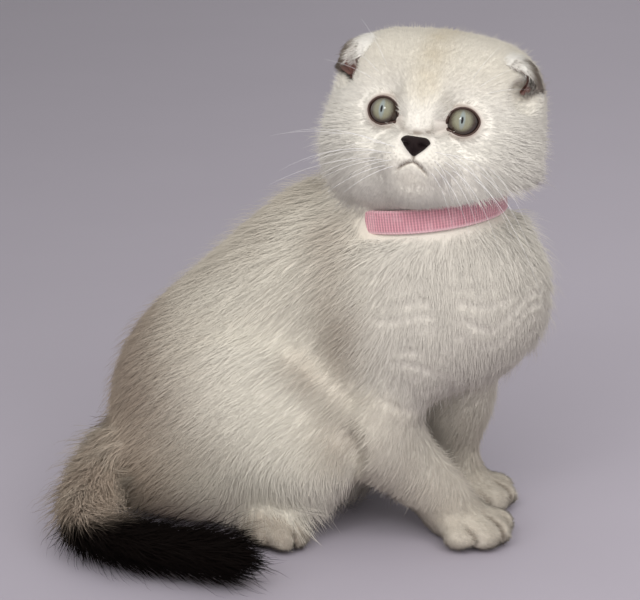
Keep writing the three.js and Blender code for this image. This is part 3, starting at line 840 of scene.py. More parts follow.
def markings(places, normals, part):
    """Weights of cream, grey, dark and tan over the white coat."""
    mm, head = places / MM, in_head(places)
    x, y, z = head.T
    aside = np.abs(x)
    wobble, fine = ripple(places, 55), ripple(places, 190)
    on_head, on_ear, on_hind, on_front, on_paw, on_tail = (
        named(part, start) for start in ("head", "ear", "leg_hind", "leg_front", "paw", "tail")
    )
    on_body = named(part, "torso", "neck")

    # cream over the body, paler in front, and grey over the back, the rump and down the legs; the grey on the
    # forelegs and paws, deepening towards the floor, and on the hind paws is painted shade
    front = ramp(-mm[:, 1], 25, 62)
    cream = np.select(
        (on_body, on_hind | on_paw, on_front, on_head, on_tail),
        (
            0.85 - 0.45 * front,
            0.75,
            0.6 + 0.3 * ramp(mm[:, 1], -60, -30),
            # on the head, the cream that rises towards the top is painted shade against the key light's bright
            # top
            0.3 + 0.25 * ramp(y, -6, 20) + 0.4 * ramp(z, 6, 26),
            0.9,
        ),
        0.0,
    )
    # painted shade: forelegs and paws greyer towards the floor, and the hind paws grey
    low = ramp(-mm[:, 2], -60, -12)
    grey = (on_front | on_paw) * (0.28 + 0.26 * low + 0.1 * fine) + 0.2 * named(part, "paw_hind")
    # painted shadow in the gaps between the toes: grey along them and dark deepest in them
    between = toe_gaps(places, part) / MM
    grey = raised(grey, on_paw, 0.95 * ramp(between, 0.4, 1.1))
    dark = on_paw * 0.6 * ramp(between, 0.9, 1.7)
    upward = normals @ unit(np.array([0, 0.72, 0.62]))
    saddle = ramp(upward + 0.12 * wobble + 0.08 * fine, 0.35, 1.0) * 0.42
    rump = 0.95 * ramp(mm[:, 1] - 0.32 * mm[:, 2] + 6 * wobble, -18, 50)
    grey = raised(grey, on_body | on_hind, np.maximum(saddle * (1 - 0.75 * front), rump))
    grey = raised(grey, on_body, 0.15 * front)
    for a, b, reach, deep in BANDS:
        a, b = np.array(a, float), np.array(b, float)
        t = np.clip((mm - a) @ (b - a) / ((b - a) @ (b - a)), 0, 1)
        far = np.linalg.norm(mm - (a + t[:, None] * (b - a)), axis=1)
        band = np.exp(-((far / reach) ** 2)) * (deep + 0.25 * wobble)
        grey = raised(grey, on_body | on_front | on_hind, band)

    # the brow's stripe and the faint bars beside it
    brow = np.exp(-((x / 6.0) ** 2)) * ramp(z, 2, 12) * (1 - 0.5 * ramp(z, 34, 44))
    tan = on_head * brow * (0.65 + 0.5 * fine) * ramp(-y, -14, 4)
    bars = ramp(np.sin(x * 0.72 + 0.6 * wobble), 0.35, 0.95) * ramp(z, 8, 15) * ramp(-z, -32, -20)
    bars *= ramp(aside, 5, 9) * (1 - ramp(aside, 20, 27)) * ramp(-y, 0, 10)
    # the eyes' inner corners, specks about the nose, a ring round each eye, the chin greyed as painted shade
    # under the jaw, and the whisker pads
    speckle = 0.55 + 0.45 * (fine > 0)
    inner = blot(aside, z, (6.8, -2.8), (1.7, 2.4))
    beside = blot(aside, z, (4.6, -4.9), (1.9, 1.6)) * speckle
    over_nose = blot(x, z, (0, -5.4), (5.0, 1.2)) * speckle
    ring = np.hypot((aside - EYE_SPOTS["left"][0]) / 6.9, (z - 1.5) / 6.1)
    halo = np.exp(-(((ring - 1.06) / 0.13) ** 2))
    dots = np.sin(x * 2.6) * np.sin(z * 2.6 + 1.2 * np.sign(x))
    pads = blot(aside, z, (9, -16), (5, 3.4))
    # behind the ears, and the skull beyond them
    beyond = ramp(aside, 33, 38) * ramp(z, 17, 21) * ramp(y, -12, -6) * (1 - ramp(y, 6, 14))
    for where, amount in (
        (True, 0.22 * bars),
        (True, 0.42 * ramp(y, 10, 34) * (0.8 + wobble)),
        (y < -18, inner),
        (y < -24, 0.85 * np.maximum(beside, over_nose)),
        (y < -16, 0.6 * halo),
        (True, 0.8 * ramp(furrows(head) / 1.3, 0.1, 0.6)),
        # painted shade under the chin
        (y < -20, 0.34 * blot(x, z, (0, -24), (8.0, 6.0))),
        # painted shade: the top of the head greyed a little against the key light from above
        (True, 0.16 * ramp(z, 4, 22)),
        (y < -26, 0.9 * ramp(dots, 0.5, 0.85) * pads),
        (True, 0.8 * beyond),
    ):
        grey = raised(grey, on_head & where, amount)
    dark = raised(dark, on_head & (y < -18), 0.5 * ramp(inner, 0.3, 0.8))
    dark = raised(dark, on_head & (y < -24), 0.3 * ramp(beside, 0.5, 0.9))

    # ears: dark backs with white rims, and a few dark hairs over the fold
    across, span = Skin.flap.T
    reach = np.where(x < 0, 0.68, 0.46)
    ear_back = (1 - ramp(across + 0.08 * fine, reach - 0.14, reach + 0.06)) * ramp(span, 0.28, 0.48)
    hairs = ripple(np.stack([span * 26, across * 2.2, 0 * span + 0.3], axis=1), 1)
    streaks = 0.75 * ramp(hairs, 0.12, 0.3) * ramp(across, 0.4, 0.55) * ramp(span, 0.1, 0.3)
    grey = raised(grey, on_ear, np.maximum(0.95 * ear_back, streaks))
    dark = raised(dark, on_ear, np.maximum(0.55 * ear_back, 0.35 * streaks))

    # tail: ticked grey at its root, then near black
    near = along_tail(places[on_tail]) / (TAIL_STEPS - 1)
    over = 0.15 * normals[on_tail][:, 2]
    dark[on_tail] = ramp(near - over + 0.05 * wobble[on_tail], 0.45, 0.6) * ramp(near, 0.3, 0.45)
    grey[on_tail] = 0.8 + 0.3 * wobble[on_tail] + 0.2 * ramp(near, 0.2, 0.45)
    return np.clip(np.stack([cream, grey, dark, tan], axis=1), 0, 1)


def creases(places, normals):
    """Where the chest's long fur parts in rows: the place in a row, 0 at its top, and how deep it is."""
    mm = places / MM
    sway, patch = ripple(places, [38, 38, 30]), ripple(places, 75)
    row = np.mod(-mm[:, 2] / CREASE + 1.9 * sway + 0.02 * mm[:, 0], 1)
    right = ramp(-normals[:, 1] - 0.75 * normals[:, 0], -0.1, 0.7)
    tall = ramp(mm[:, 2], 50, 66) * (1 - ramp(mm[:, 2], 114, 130))
    return row, right * tall * ramp(-mm[:, 1], 38, 60) * ramp(patch, -0.4, 0.15)


class Skin:
    """The finished skin and what each of its points says about the coat."""

    piece = flap = inside = part = lie = tone = rows = None


# The head's depth, length, width and density of coat, and what the face, the muzzle and the cheeks add.
HEAD_COAT = (
    (2.2, -1.0, -0.6, 1.2),
    (6.4, -2.0, -2.2, 3.6),
    (0.27, -0.03, -0.04, 0.05),
    (520, 240, 300, -160),
)


def coat_rows(places, normals, part, pairs):
    """Depth, length, width, density, clumping, stray and wisps of the coat at each point."""
    rows = np.array([part_row(name) for name in FLESH], float)[part]
    mm = places / MM
    x, y, z = in_head(places).T
    # short on the bridge and muzzle, long and soft over the cheeks
    muzzle = blot(x, z, (0, -13), (13, 15)) * ramp(-y, 14, 30)
    cheek = ramp(np.abs(x), 20, 38) * ramp(-z, -14, 10)
    face = ramp(-y, 2, 22) * (1 - cheek)
    for column, (plain, for_face, for_muzzle, for_cheek) in enumerate(HEAD_COAT):
        amount = plain + for_face * face + for_muzzle * muzzle + for_cheek * cheek
        rows[:, column] = np.where(named(part, "head"), amount, rows[:, column])
    # long wisps over the root of the tail, under the belly, low on the chest and behind the foreleg
    body = named(part, "torso", "leg_hind")
    wisps = body * ramp(-from_tail_root(places), -34, -12) * ramp(mm[:, 1], 30, 55)
    belly = body * ramp(-mm[:, 2], -34, -16) * ramp(-mm[:, 1], -22, 0)
    chest = named(part, "torso") * ramp(-mm[:, 1], 55, 75) * ramp(-mm[:, 2], -80, -55)
    elbow = named(part, "leg_front") * ramp(normals[:, 1], 0.1, 0.8)
    wispy = np.max([1.1 * wisps, 1.1 * belly, 1.2 * chest, 0.8 * elbow], axis=0)
    rows[:, 1] += 9.0 * wispy
    rows[:, 0] += 1.6 * wispy + 2.0 * elbow + 1.5 * belly
    rows[:, 6] = wisps
    rows = eased(rows, pairs, 10)
    rows[:, 0] = rows[:, 0].clip(0.6)
    return rows


def build_skin(skin, face):
    """Lays the skin inside the solids by the coat's depth, shapes the face and toes, and adds the ears."""
    mesh = remeshed(joined_flesh(skin), skin.voxel)
    refined(mesh)
    pairs = edges_of(mesh)
    places = points_of(mesh)
    part = nearest_parts(places)
    flank = named(part, "torso", "leg_hind", "neck")
    flank = eased(flank * ramp(places[:, 2], 0.012, 0.03), pairs, 4)
    places = eased(eased(places, pairs, 5), pairs, 36, keep=1 - flank)
    move_points(mesh, places)
    normals = unit(eased(normals_of(mesh), pairs, 6))
    rows = coat_rows(places, normals, part, pairs)
    # the eyeballs carry no coat and the tail is a core already, so the skin keeps to them
    sunk = rows[:, 0] * (1 - near_eyes(in_head(places), 10, 14))
    sunk = eased(np.where(named(part, *TAIL), 0.0, sunk), pairs, 4)
    places = eased(places - normals * (sunk * MM)[:, None], pairs, 3)
    head = in_head(places)
    carved = head + np.array([0, 1, 0]) * furrows(head)[:, None]
    places = places + (out_of_head(carved) - out_of_head(head))
    move_points(mesh, places)
    normals = normals_of(mesh)
    places = places - normals * toe_gaps(places, part)[:, None]
    row, amount = creases(places, normals)
    places = places + normals * ((row - 0.6) * amount * CREASE_RELIEF * MM)[:, None]
    places = lids(places, face, skin.lid)
    zone = np.zeros(len(places))
    for side, _ in SIDES:
        past, far, _ = past_lids(in_head(places), side, face)
        zone = np.maximum(zone, ramp(past, 0.8, 2.5) * (1 - ramp(far, 17, 22)))
    places = eased(places, pairs, 8, keep=1 - zone)
    places[:, 2] = np.maximum(places[:, 2], 0.0)
    # a shallow seat for the nose leather, and the hollows under the ears
    head = in_head(places)
    seat = (head[:, 0] / 7.5) ** 2 + ((head[:, 2] + 10.0) / 5.6) ** 2
    seat = np.exp(-(seat**2)) * (head[:, 1] < -25) * 1.6
    head = head + np.outer(seat, [0, 1, 0])
    tree = BVHTree.FromPolygons(out_of_head(head).tolist(), [p.vertices[:] for p in mesh.polygons])
    inward = unit((SKULL_MIDDLE - EAR_OPENING) * [1, 1, 0.6])
    mirror = np.stack([np.sign(head[:, 0])] + [np.ones(len(head))] * 2, axis=1)
    head = head + ear_hollow(head)[:, None] * HOLLOW_DEPTH * inward * mirror
    move_points(mesh, out_of_head(head))
    own, Skin.inside = with_ears(mesh, tree)
    places, pairs = points_of(mesh), edges_of(mesh)
    right = in_head(places[own:])[:, 0] < 0
    ears = np.where(right, FLESH.index("ear_right"), FLESH.index("ear_left"))
    Skin.part = np.concatenate([part, ears])
    Skin.rows = np.concatenate([rows, np.tile(part_row("ear"), (len(ears), 1))])
    soft = unit(eased(normals_of(mesh), pairs, 3))
    Skin.lie = lie_of_fur(places, soft, Skin.part, pairs)
    Skin.tone = eased(markings(places, soft, Skin.part), pairs, 1)
    return mesh


def add_attribute(mesh, name, values):
    """Keeps one number, or four, for each point."""
    kind, key = ("FLOAT_COLOR", "color") if values.ndim > 1 else ("FLOAT", "value")
    layer = mesh.attributes.new(name, kind, "POINT")
    layer.data.foreach_set(key, values.astype(np.float32).ravel())


def marked(finish, coat):
    """The coat's white, cream and tan, and how grey and how dark it is."""
    cream, grey, dark = finish.split(finish.attribute("tone", "Color"), "Color")
    tint = finish.blend(cream, coat.white, coat.cream)
    return finish.blend(finish.attribute("tone", "Alpha"), tint, coat.tan), grey, dark


def skin_finish(coat, face):
    finish = Finish("coat_skin")
    tint, grey, dark = marked(finish, coat)
    streak = finish.noise(finish.place(), 900, 2)
    tint = finish.blend(grey, tint, times(coat.grey, 0.9))
    tint = finish.blend(dark, tint, coat.dark)
    tint = finish.blend(finish.attribute("bare"), tint, face.pink)
    tint = finish.blend(finish.attribute("lips"), tint, face.lips)
    tint = finish.blend(finish.step(streak, 0.35, 0.7, 0.0, 0.25), tint, (0.85, 0.83, 0.8), "MULTIPLY")
    return finish.surface(
        Base_Color=tint, Roughness=0.75, Normal=finish.bump(streak, 0.0003, 0.6),
        Specular_IOR_Level=0.2,
    )


def coat_finish(coat):
    finish = Finish("coat_fur")
    tint, grey, dark = marked(finish, coat)
    along = finish.attribute("along")
    shade = finish.attribute("shade")
    # pale hairs stay pale; grey ones are ticked with a darker tip over a paler middle
    tick = finish.step(along, 0.35, 0.95) * finish.step(shade, 0.25, 0.8)
    greyed = finish.blend(tick, times(coat.grey, 1.5), times(coat.grey, 0.5))
    tint = finish.blend(grey * finish.step(shade, -0.35, 0.45), tint, greyed)
    black = finish.blend(finish.step(shade, 0.8, 1.0) * 0.12, coat.dark, times(coat.grey, 0.5))
    tint = finish.blend(dark, tint, black)
    varied = finish.step(shade, 0.0, 1.0, 0.87, 1.07)
    shaded = finish.node(
        "ShaderNodeHueSaturation", {}, {"Color": tint, "Value": varied, "Saturation": 1.0}
    )
    # the roots are darker: partly the greyer undercoat, partly painted shade deep between the tufts
    root_undercoat_and_shade = finish.step(along, 0.0, 0.35, 0.12, 0.0)
    deep = finish.blend(root_undercoat_and_shade, shaded, (0.62, 0.55, 0.5), "MULTIPLY")
    return finish.surface(Base_Color=deep, Roughness=0.8, Specular_IOR_Level=0.06)


# Coat


TUFT_STEPS = {1: [0.0], 2: [0.0, 0.52], 3: [0.0, 0.36, 0.72]}  # where a tuft's rings stand, by their number
TUFT_TAPER = (1.0, 0.95, 0.6, 0.3)  # its width at each third
TUFT_SINK = 0.0007  # how far its root goes under the skin


def tuft_arrays(root, normal, lie, long, rise, wide, rings, bend):
    """Points, faces and the places along and across of tufts with three sides that taper to a tip."""
    steps = np.array(TUFT_STEPS[rings])
    side = unit(np.cross(normal, lie))

    def centre(s):
        up = rise * (1 - (1 - s) ** 2)
        flat = long * s * (1 - 0.12 * s)
        return (
            root - normal * (TUFT_SINK * (1 - s)) + lie * flat[:, None] + normal * up[:, None]
            + side * (bend * long * s * s)[:, None]
        )

    rows = []
    for s in steps:
        size = wide * TUFT_TAPER[round(s * 3)] / 2
        middle = centre(s)
        rows += [
            middle - side * size[:, None],
            middle + side * size[:, None],
            middle + normal * (size * 0.9)[:, None],
        ]
    rows.append(centre(1.0))
    places = np.stack(rows, axis=1)
    each = 3 * rings + 1
    faces = [(0, 2, 1)]
    for r in range(rings - 1):
        a = 3 * r
        for k in range(3):
            m = (k + 1) % 3
            faces += [(a + k, a + m, a + 3 + m), (a + k, a + 3 + m, a + 3 + k)]
    last = 3 * (rings - 1)
    faces += [(last + k, last + (k + 1) % 3, each - 1) for k in range(3)]
    faces = np.array(faces)
    along = np.append(np.repeat(steps, 3), 1.0)
    across = np.append(np.tile([-1.0, 1.0, 0.0], rings), 0.0)
    a, b, c = (places[0, faces[:, i]] for i in range(3))
    mid = places[0].mean(0)
    volume = np.sum(np.cross(a - mid, b - mid) * (c - mid))
    if volume < 0:
        faces = faces[:, ::-1]
    return places, faces, along, across


FLOOR_GAP = 0.0002
TILT = 0.12  # how far a tuft's shading turns to its tip, and to its sides
PATCH = 0.003  # side of a tuft's own patch in the map


def coat_mesh(name, sets):
    """One mesh of the sets' tufts, with their markings and the coat's own map."""
    places, faces, along, shade, tone, ways, maps = ([] for _ in range(7))
    start = 0
    for tufts in sets:
        p, f, a, c = tuft_arrays(*tufts["shape"])
        p[..., 2] = np.maximum(p[..., 2], FLOOR_GAP)
        count, each = p.shape[:2]
        places.append(p.reshape(-1, 3))
        index = f[None] + (np.arange(count) * each)[:, None, None] + start
        faces.append(index.reshape(-1, 3))
        along.append(np.tile(a, count))
        shade.append(np.repeat(tufts["shade"], each))
        tone.append(np.repeat(tufts["tone"], each, axis=0))
        normal, lie = tufts["shape"][1], tufts["shape"][2]
        tilt = unit(tufts["facing"] + lie * TILT)
        around = np.repeat(tilt[:, None], each, axis=1)
        side = unit(np.cross(normal, lie))
        around = unit(around + side[:, None] * (c * TILT)[None, :, None])
        ways.append(around.reshape(-1, 3))
        spread = np.stack([c, a * 2 - 1], axis=1) * PATCH / 2
        corner = tufts["map"][:, None] + spread[None]
        maps.append(corner[:, f.ravel()].reshape(-1, 2))
        start += count * each
    places, faces = np.concatenate(places), np.concatenate(faces)
    mesh = bpy.data.meshes.new(name)
    mesh.vertices.add(len(places))
    mesh.vertices.foreach_set("co", places.ravel())
    mesh.loops.add(faces.size)
    mesh.loops.foreach_set("vertex_index", faces.ravel())
    mesh.polygons.add(len(faces))
    mesh.polygons.foreach_set("loop_start", np.arange(0, faces.size, 3))
    mesh.update(calc_edges=True)
    layer = mesh.uv_layers.new(name="OFBake")
    layer.data.foreach_set("uv", np.concatenate(maps).clip(0, 1).ravel())
    for key, values in (("along", along), ("shade", shade), ("tone", tone)):
        add_attribute(mesh, key, np.concatenate(values))
    mesh.shade_smooth()
    mesh.normals_split_custom_set_from_vertices(np.concatenate(ways).tolist())
    return mesh


# The nose leather's patch of the face, in millimetres of the head's frame: half widths at its top and at its
# foot, where it narrows, how high and low it goes, and how far forward it starts.
NOSE_PATCH = {"wide": 6.0, "narrows": 3.4, "top": -5.8, "foot": -14.5, "front": -30}
# The band of neck under the collar: half its height, its outside and its stretch from front to back.
BAND_HALF, BAND_OUTSIDE, BAND_STRETCH = 0.0055, 0.0318, 1.08


def coat_places(places, face):
    """1 where the coat grows and 0 where it doesn't: eyes, lips, nose and under the collar."""
    head = in_head(places)
    grows = np.ones(len(places))
    for side, _ in SIDES:
        past, far, _ = past_lids(head, side, face)
        grows *= np.where(far < face.eye_radius / MM + 6, ramp(past, 0.25, 0.8), 1)
    x, y, z = head.T
    width = NOSE_PATCH["wide"] - NOSE_PATCH["narrows"] * ramp(-z, 7.5, 14.5)
    tall = (z > NOSE_PATCH["foot"]) & (z < NOSE_PATCH["top"])
    grows *= 1 - ((np.abs(x) < width) & tall & (y < NOSE_PATCH["front"]))
    grows *= 1 - 0.9 * ramp(furrows(head), 0.95, 1.35)
    grows *= 1 - ramp(ear_hollow(head), 0.4, 0.7)
    ring = places - np.array(COLLAR_SPOT)
    round_neck = np.hypot(ring[:, 0], ring[:, 1] / BAND_STRETCH) < BAND_OUTSIDE
    grows *= ~((np.abs(ring @ np.array(NECK_UP) + 0.0005) < BAND_HALF) & round_neck)
    return grows * (places[:, 2] > 0.0008)


def drawn_roots(mesh, coat, face, draw):
    """Where each tuft grows: its triangle on the skin and its place in it."""
    mesh.calc_loop_triangles()
    corners, loops = (numbers_of(mesh.loop_triangles, key, 3, int) for key in ("vertices", "loops"))
    places = points_of(mesh)
    a, b, c = (places[corners[:, i]] for i in range(3))
    area = np.linalg.norm(np.cross(b - a, c - a), axis=1) / 2
    thick = Skin.rows[:, 3][corners].mean(axis=1)
    weight = area * thick * coat_places((a + b + c) / 3, face)
    weight *= ~Skin.inside[corners].any(axis=1)
    ends = np.cumsum(weight)
    spots = (np.arange(coat.tufts) + draw.random(coat.tufts)) / coat.tufts * ends[-1]
    chosen = np.searchsorted(ends, spots).clip(0, len(ends) - 1)
    u, v = draw.random(coat.tufts), draw.random(coat.tufts)
    flip = u + v > 1
    u, v = np.where(flip, 1 - u, u), np.where(flip, 1 - v, v)
    shares = np.stack([1 - u - v, u, v], axis=1)
    return corners[chosen], loops[chosen], shares


MOST_TRIANGLES = 190000
# What each coat piece covers, the share of its tufts that are plain short ones, which fill the coat under the
# longer, and how many rings a longer one has.
GROUPS = {
    "coat_face": (("head",), 0.9, 2),
    "coat_ears": (("ear",), 0.8, 2),
    "coat_neck": (("neck",), 0.5, 2),
    "coat_body": (("torso",), 0.62, 2),
    "coat_forelegs": (("leg_front", "paw_front"), 0.7, 2),
    "coat_hindlegs": (("leg_hind", "paw_hind"), 0.62, 2),
    "coat_tail": (("tail",), 0.5, 3),
}
CLUMP = 9  # tufts that lean together
TIP = 0.88  # a tuft's reach along the lie, over its length
# Guard hairs: their share, their rise on the body and elsewhere, their length and their width.
GUARDS, GUARD_RISE, GUARD_LONG, GUARD_WIDE = 0.15, (2.9, 2.2), 1.35, 0.6
LOWEST_TIP, LOW_TIP = 0.0003, 0.0006  # no tuft ends below the first, and those below the second lie flat
REAR = (0.092, 0.104)  # tufts that end between these two, behind the tail's root, are shortened


def build_coat(coat, face, material):
    mesh = Skin.piece.data
    draw = np.random.default_rng(11)
    corners, loops, shares = drawn_roots(mesh, coat, face, draw)

    def at_root(values):
        return np.einsum("ij,ij...->i...", shares, values[corners])

    def soft(rounds):
        return unit(at_root(unit(eased(normals_of(mesh), edges_of(mesh), rounds))))

    root, normal = at_root(points_of(mesh)), soft(5)
    lie = unit(at_root(Skin.lie))
    lie = unit(lie - normal * np.sum(lie * normal, axis=1, keepdims=True))
    rows, tone = at_root(Skin.rows), at_root(Skin.tone)
    part = Skin.part[corners[:, 0]]
    where = numbers_of(mesh.uv_layers["OFBake"].data, "uv", 2)[loops[:, 0]]
    count = len(root)

    # tufts lean towards their clump's middle
    seeds = draw.choice(count, size=int(count / CLUMP), replace=False)
    tree = KDTree(len(seeds))
    for i, s in enumerate(seeds):
        tree.insert(root[s], i)
    tree.balance()
    middle = seeds[np.array([tree.find(Vector(p))[1] for p in root])]
    rise, long, wide = rows[:, 0] * MM, rows[:, 1] * MM, rows[:, 2] * MM
    strong, stray = rows[:, 4], rows[:, 5]
    vary = draw.normal(0, 1, (count, 4))
    together = vary[middle]
    side = unit(np.cross(normal, lie))
    gather = np.sum((root[middle] - root) * side, axis=1) / long.clip(1e-4)
    aim = gather * strong + stray * vary[:, 1] + together[:, 0] * 0.16 * strong
    lie = unit(lie + side * aim[:, None])

    # a few long thin guard hairs stand out; on the chest the rows end at the next parting
    row, amount = creases(root, normal)
    guard = draw.random(count) < GUARDS * ramp(long, 0.0045, 0.008)
    layer = 0.55 + 0.45 * draw.random(count)
    rise = rise * layer * (1 + 0.1 * vary[:, 2]).clip(0.5, 1.5) * (1 + amount * 0.5 * (row - 0.5))
    rise = rise * np.where(guard, np.where(named(part, "torso", "neck"), *GUARD_RISE), 1)
    long = long * (1 + 0.18 * vary[:, 3]).clip(0.5, 1.5)
    to_edge = ((1 - row) * CREASE + 1.8 + 0.7 * vary[:, 3]).clip(2.0) * MM
    long = long + (to_edge - long) * amount * 0.85
    long, wide = long * np.where(guard, GUARD_LONG, 1), wide * np.where(guard, GUARD_WIDE, 1)
    clump_long = 1 + 0.07 * together[:, 1]
    long, rise = long * clump_long, rise * clump_long
    shade = np.clip(draw.random(count) * 0.8 + 0.1 + 0.1 * together[:, 2], 0, 1)
    shade = 0.5 + (shade - 0.5) * np.where(named(part, "head", "paw"), 1.2, 0.5)
    bend = 0.05 * vary[:, 1] + 0.06 * together[:, 0]

    # tips stay off the floor and don't stand far out behind
    def tips():
        return root + lie * (long * TIP)[:, None] + normal * rise[:, None]

    low = tips()[:, 2] < LOW_TIP
    lie = np.where(low[:, None], unit(lie * [1, 1, 0] + [0, 0, 0.02]), lie)
    long = np.where(low, long * 0.7, long)
    tip = tips()
    keep = tip[:, 2] > LOWEST_TIP
    past = ramp(tip[:, 1], *REAR)
    long, rise = long * (1 - 0.5 * past), rise * (1 - 0.4 * past)

    # body and hind legs shade as one smooth form, without a ridge where the thigh runs into the flank;
    # in the corner between the rump and the tail the coat's surface is the wisps over it
    over = named(part, "tail_root", "tail_middle") * ramp(root[:, 1], 0.050, 0.060)
    over = np.maximum(over, rows[:, 6])
    smooth = soft(70)
    body = ramp(root[:, 1], -0.030, 0.010)
    thigh = np.maximum(named(part, "leg_hind"), named(part, "torso") * body)
    thigh = thigh * ramp(root[:, 2], 0.030, 0.045)
    smooth[:, 1] += (smooth[:, 1].clip(-0.05) - smooth[:, 1]) * thigh
    facing = np.where(named(part, "torso", "leg_hind")[:, None], smooth, normal)
    facing = unit(facing + over[:, None] * np.array([-0.75, 0.35, 0.8]))

    for group, (starts, share_plain, rings) in GROUPS.items():
        here = np.where(named(part, *starts) & keep)[0]
        if not len(here):
            continue
        plain = draw.random(count) < share_plain
        triangles = np.sum(np.where(plain[here], 4, 6 * rings - 2))
        parts = max(1, math.ceil(triangles / MOST_TRIANGLES * 1.03))
        order = here[np.argsort(root[here, 1], kind="stable")]
        for n, chosen in enumerate(np.array_split(order, parts)):
            name = group if parts == 1 else f"{group}_{n + 1}"
            sets = [
                {
                    "shape": (root[own], normal[own], lie[own], long[own] * short, rise[own] * short,
                              wide[own] * broad, many, bend[own]),
                    "shade": shade[own],
                    "facing": facing[own],
                    "tone": tone[own],
                    "map": where[own],
                }
                for own, many, short, broad in (
                    (chosen[plain[chosen]], 1, 0.8, 1.3), (chosen[~plain[chosen]], rings, 1.0, 1.0)
                )
            ]
            new_piece(name, coat_mesh(name, sets), material)


# Eyes


def eye_mesh(side, face):
    """An eyeball with the low dome of its cornea, facing its own way."""
    bm = bmesh.new()
    bmesh.ops.create_uvsphere(bm, u_segments=64, v_segments=40, radius=1.0)
    away, up, out = eye_frame(side)
    for vert in bm.verts:
        from_axis = math.degrees(math.acos(max(-1, min(1, vert.co.z))))
        dome = 0.75 * max(0.0, 1 - (from_axis / 44) ** 2) ** 1.3
        local = vert.co * (face.eye_radius / MM + dome)
        place = EYE_SPOTS[side] + away * local.x + up * local.y + out * local.z
        vert.co = HEAD @ (Vector(place) * MM)
    return closed_mesh(bm, f"eye_{side}")


GAZE = {"right": (0.1, 0.5), "left": (-0.3, 0.5)}  # where the pupil stands, in millimetres across and up


def eye_finish(side, face):
    """Iris, slit pupil and dark rim about the eye's own axis, with the upper lid's painted shadow over the top,
    painted light on the lower half of the iris and a painted pale-blue reflection round the slit.
    """
    finish = Finish(f"eye_{side}")
    away, up, out = eye_frame(side)
    across = away if side == "left" else -away
    frame_in_head = Matrix((across, up, out)).transposed()
    turn = (HEAD.to_3x3() @ frame_in_head).to_euler()
    centre = HEAD @ (Vector(EYE_SPOTS[side]) * MM)
    where = finish.place(tuple(centre), tuple(turn), (MM, MM, MM))
    x, y, _ = finish.split(where)
    x, y = x - GAZE[side][0], y - GAZE[side][1]
    far = (x * x + y * y) ** 0.5
    turned = finish.node("ShaderNodeMath", {"operation": "ARCTAN2"}, {0: y, 1: x})
    rays = finish.noise(
        finish.node("ShaderNodeCombineXYZ", {}, {"X": turned * 3.0, "Y": far * 0.5}), 4.5, 5
    )
    tint = finish.blend(finish.step(far, 2.4, 5.0), face.iris, face.iris_edge)
    fade = finish.step(far, 3.0, 5.0, 1.0, 0.12)
    tint = finish.blend(finish.step(rays, 0.42, 0.66, 0.0, 0.55) * fade, tint, face.iris_ray_and_lit_half)
    # painted light: the lower half of the iris, which the lid doesn't shade, made paler
    lower = finish.step(y, -5.0, 1.5, 0.45, 0.0) * finish.step(far, 3.2, 5.0, 1.0, 0.0)
    tint = finish.blend(lower, tint, face.iris_ray_and_lit_half)
    # painted shadow of the upper lid over the top of the eye
    tint = finish.blend(finish.step(y, 2.0, 6.0, 0.0, 0.6), tint, face.rim)
    tint = finish.blend(finish.step(far, 4.9, 5.9), tint, (0.018, 0.010, 0.008))
    slit = (x / (face.pupil / MM)) ** 2.0 + (y / 1.35) ** 2.0
    # painted reflection: a pale blue glow round the slit
    ring = finish.step(slit, 1.5, 11.0, 0.55, 0.0)
    tint = finish.blend(ring, tint, (0.24, 0.30, 0.33))
    tint = finish.blend(finish.step(slit, 0.8, 1.5, 1.0, 0.0), tint, (0.002, 0.002, 0.003))
    return finish.surface(
        Base_Color=tint, Roughness=0.2, Coat_Weight=1.0, Coat_Roughness=0.03,
        Specular_IOR_Level=0.2,
    )


def rim_mesh(side, face):
    """The dark wet edge of the lids, wider at the inner corner."""
    away, up, out = eye_frame(side)
    turns = np.linspace(0, 2 * math.pi, 72, endpoint=False)
    flat = opening(turns, face)
    eye = face.eye_radius / MM
    lifted = eye + 0.42  # just off the eyeball
    angle = flat / eye
    path = (
        EYE_SPOTS[side]
        + np.outer(np.cos(turns) * np.sin(angle) * lifted, away)
        + np.outer(np.sin(turns) * np.sin(angle) * lifted, up)
        + np.outer(np.cos(angle) * lifted, out)
    )
    curve = bpy.data.curves.new("rim", "CURVE")
    curve.dimensions = "3D"
    curve.bevel_depth, curve.bevel_resolution = face.rim_radius, 3
    spline = curve.splines.new("POLY")
    spline.points.add(len(path) - 1)
    inner = corner(turns, INNER_CORNER[0], 1, 0.3)
    for point, spot, wide in zip(spline.points, out_of_head(path), inner):
        point.co = (*spot, 1)
        point.radius = 1 + 0.7 * wide
    spline.use_cyclic_u = True
    holder = bpy.data.objects.new("rim", curve)
    mesh = bpy.data.meshes.new_from_object(holder)
    bpy.data.objects.remove(holder)
    bm = bmesh.new()
    bm.from_mesh(mesh)
    return closed_mesh(bm, f"lid_rim_{side}")


def rim_finish(face):
    finish = Finish("eye_rim")
    grain = finish.noise(finish.place(), 2600, 2)
    tint = finish.blend(grain, face.rim, times(face.rim, 2.2))
    return finish.surface(
        Base_Color=tint, Roughness=0.45, Coat_Weight=0.1, Normal=finish.bump(grain, 0.0001, 0.3)
    )


# Nose


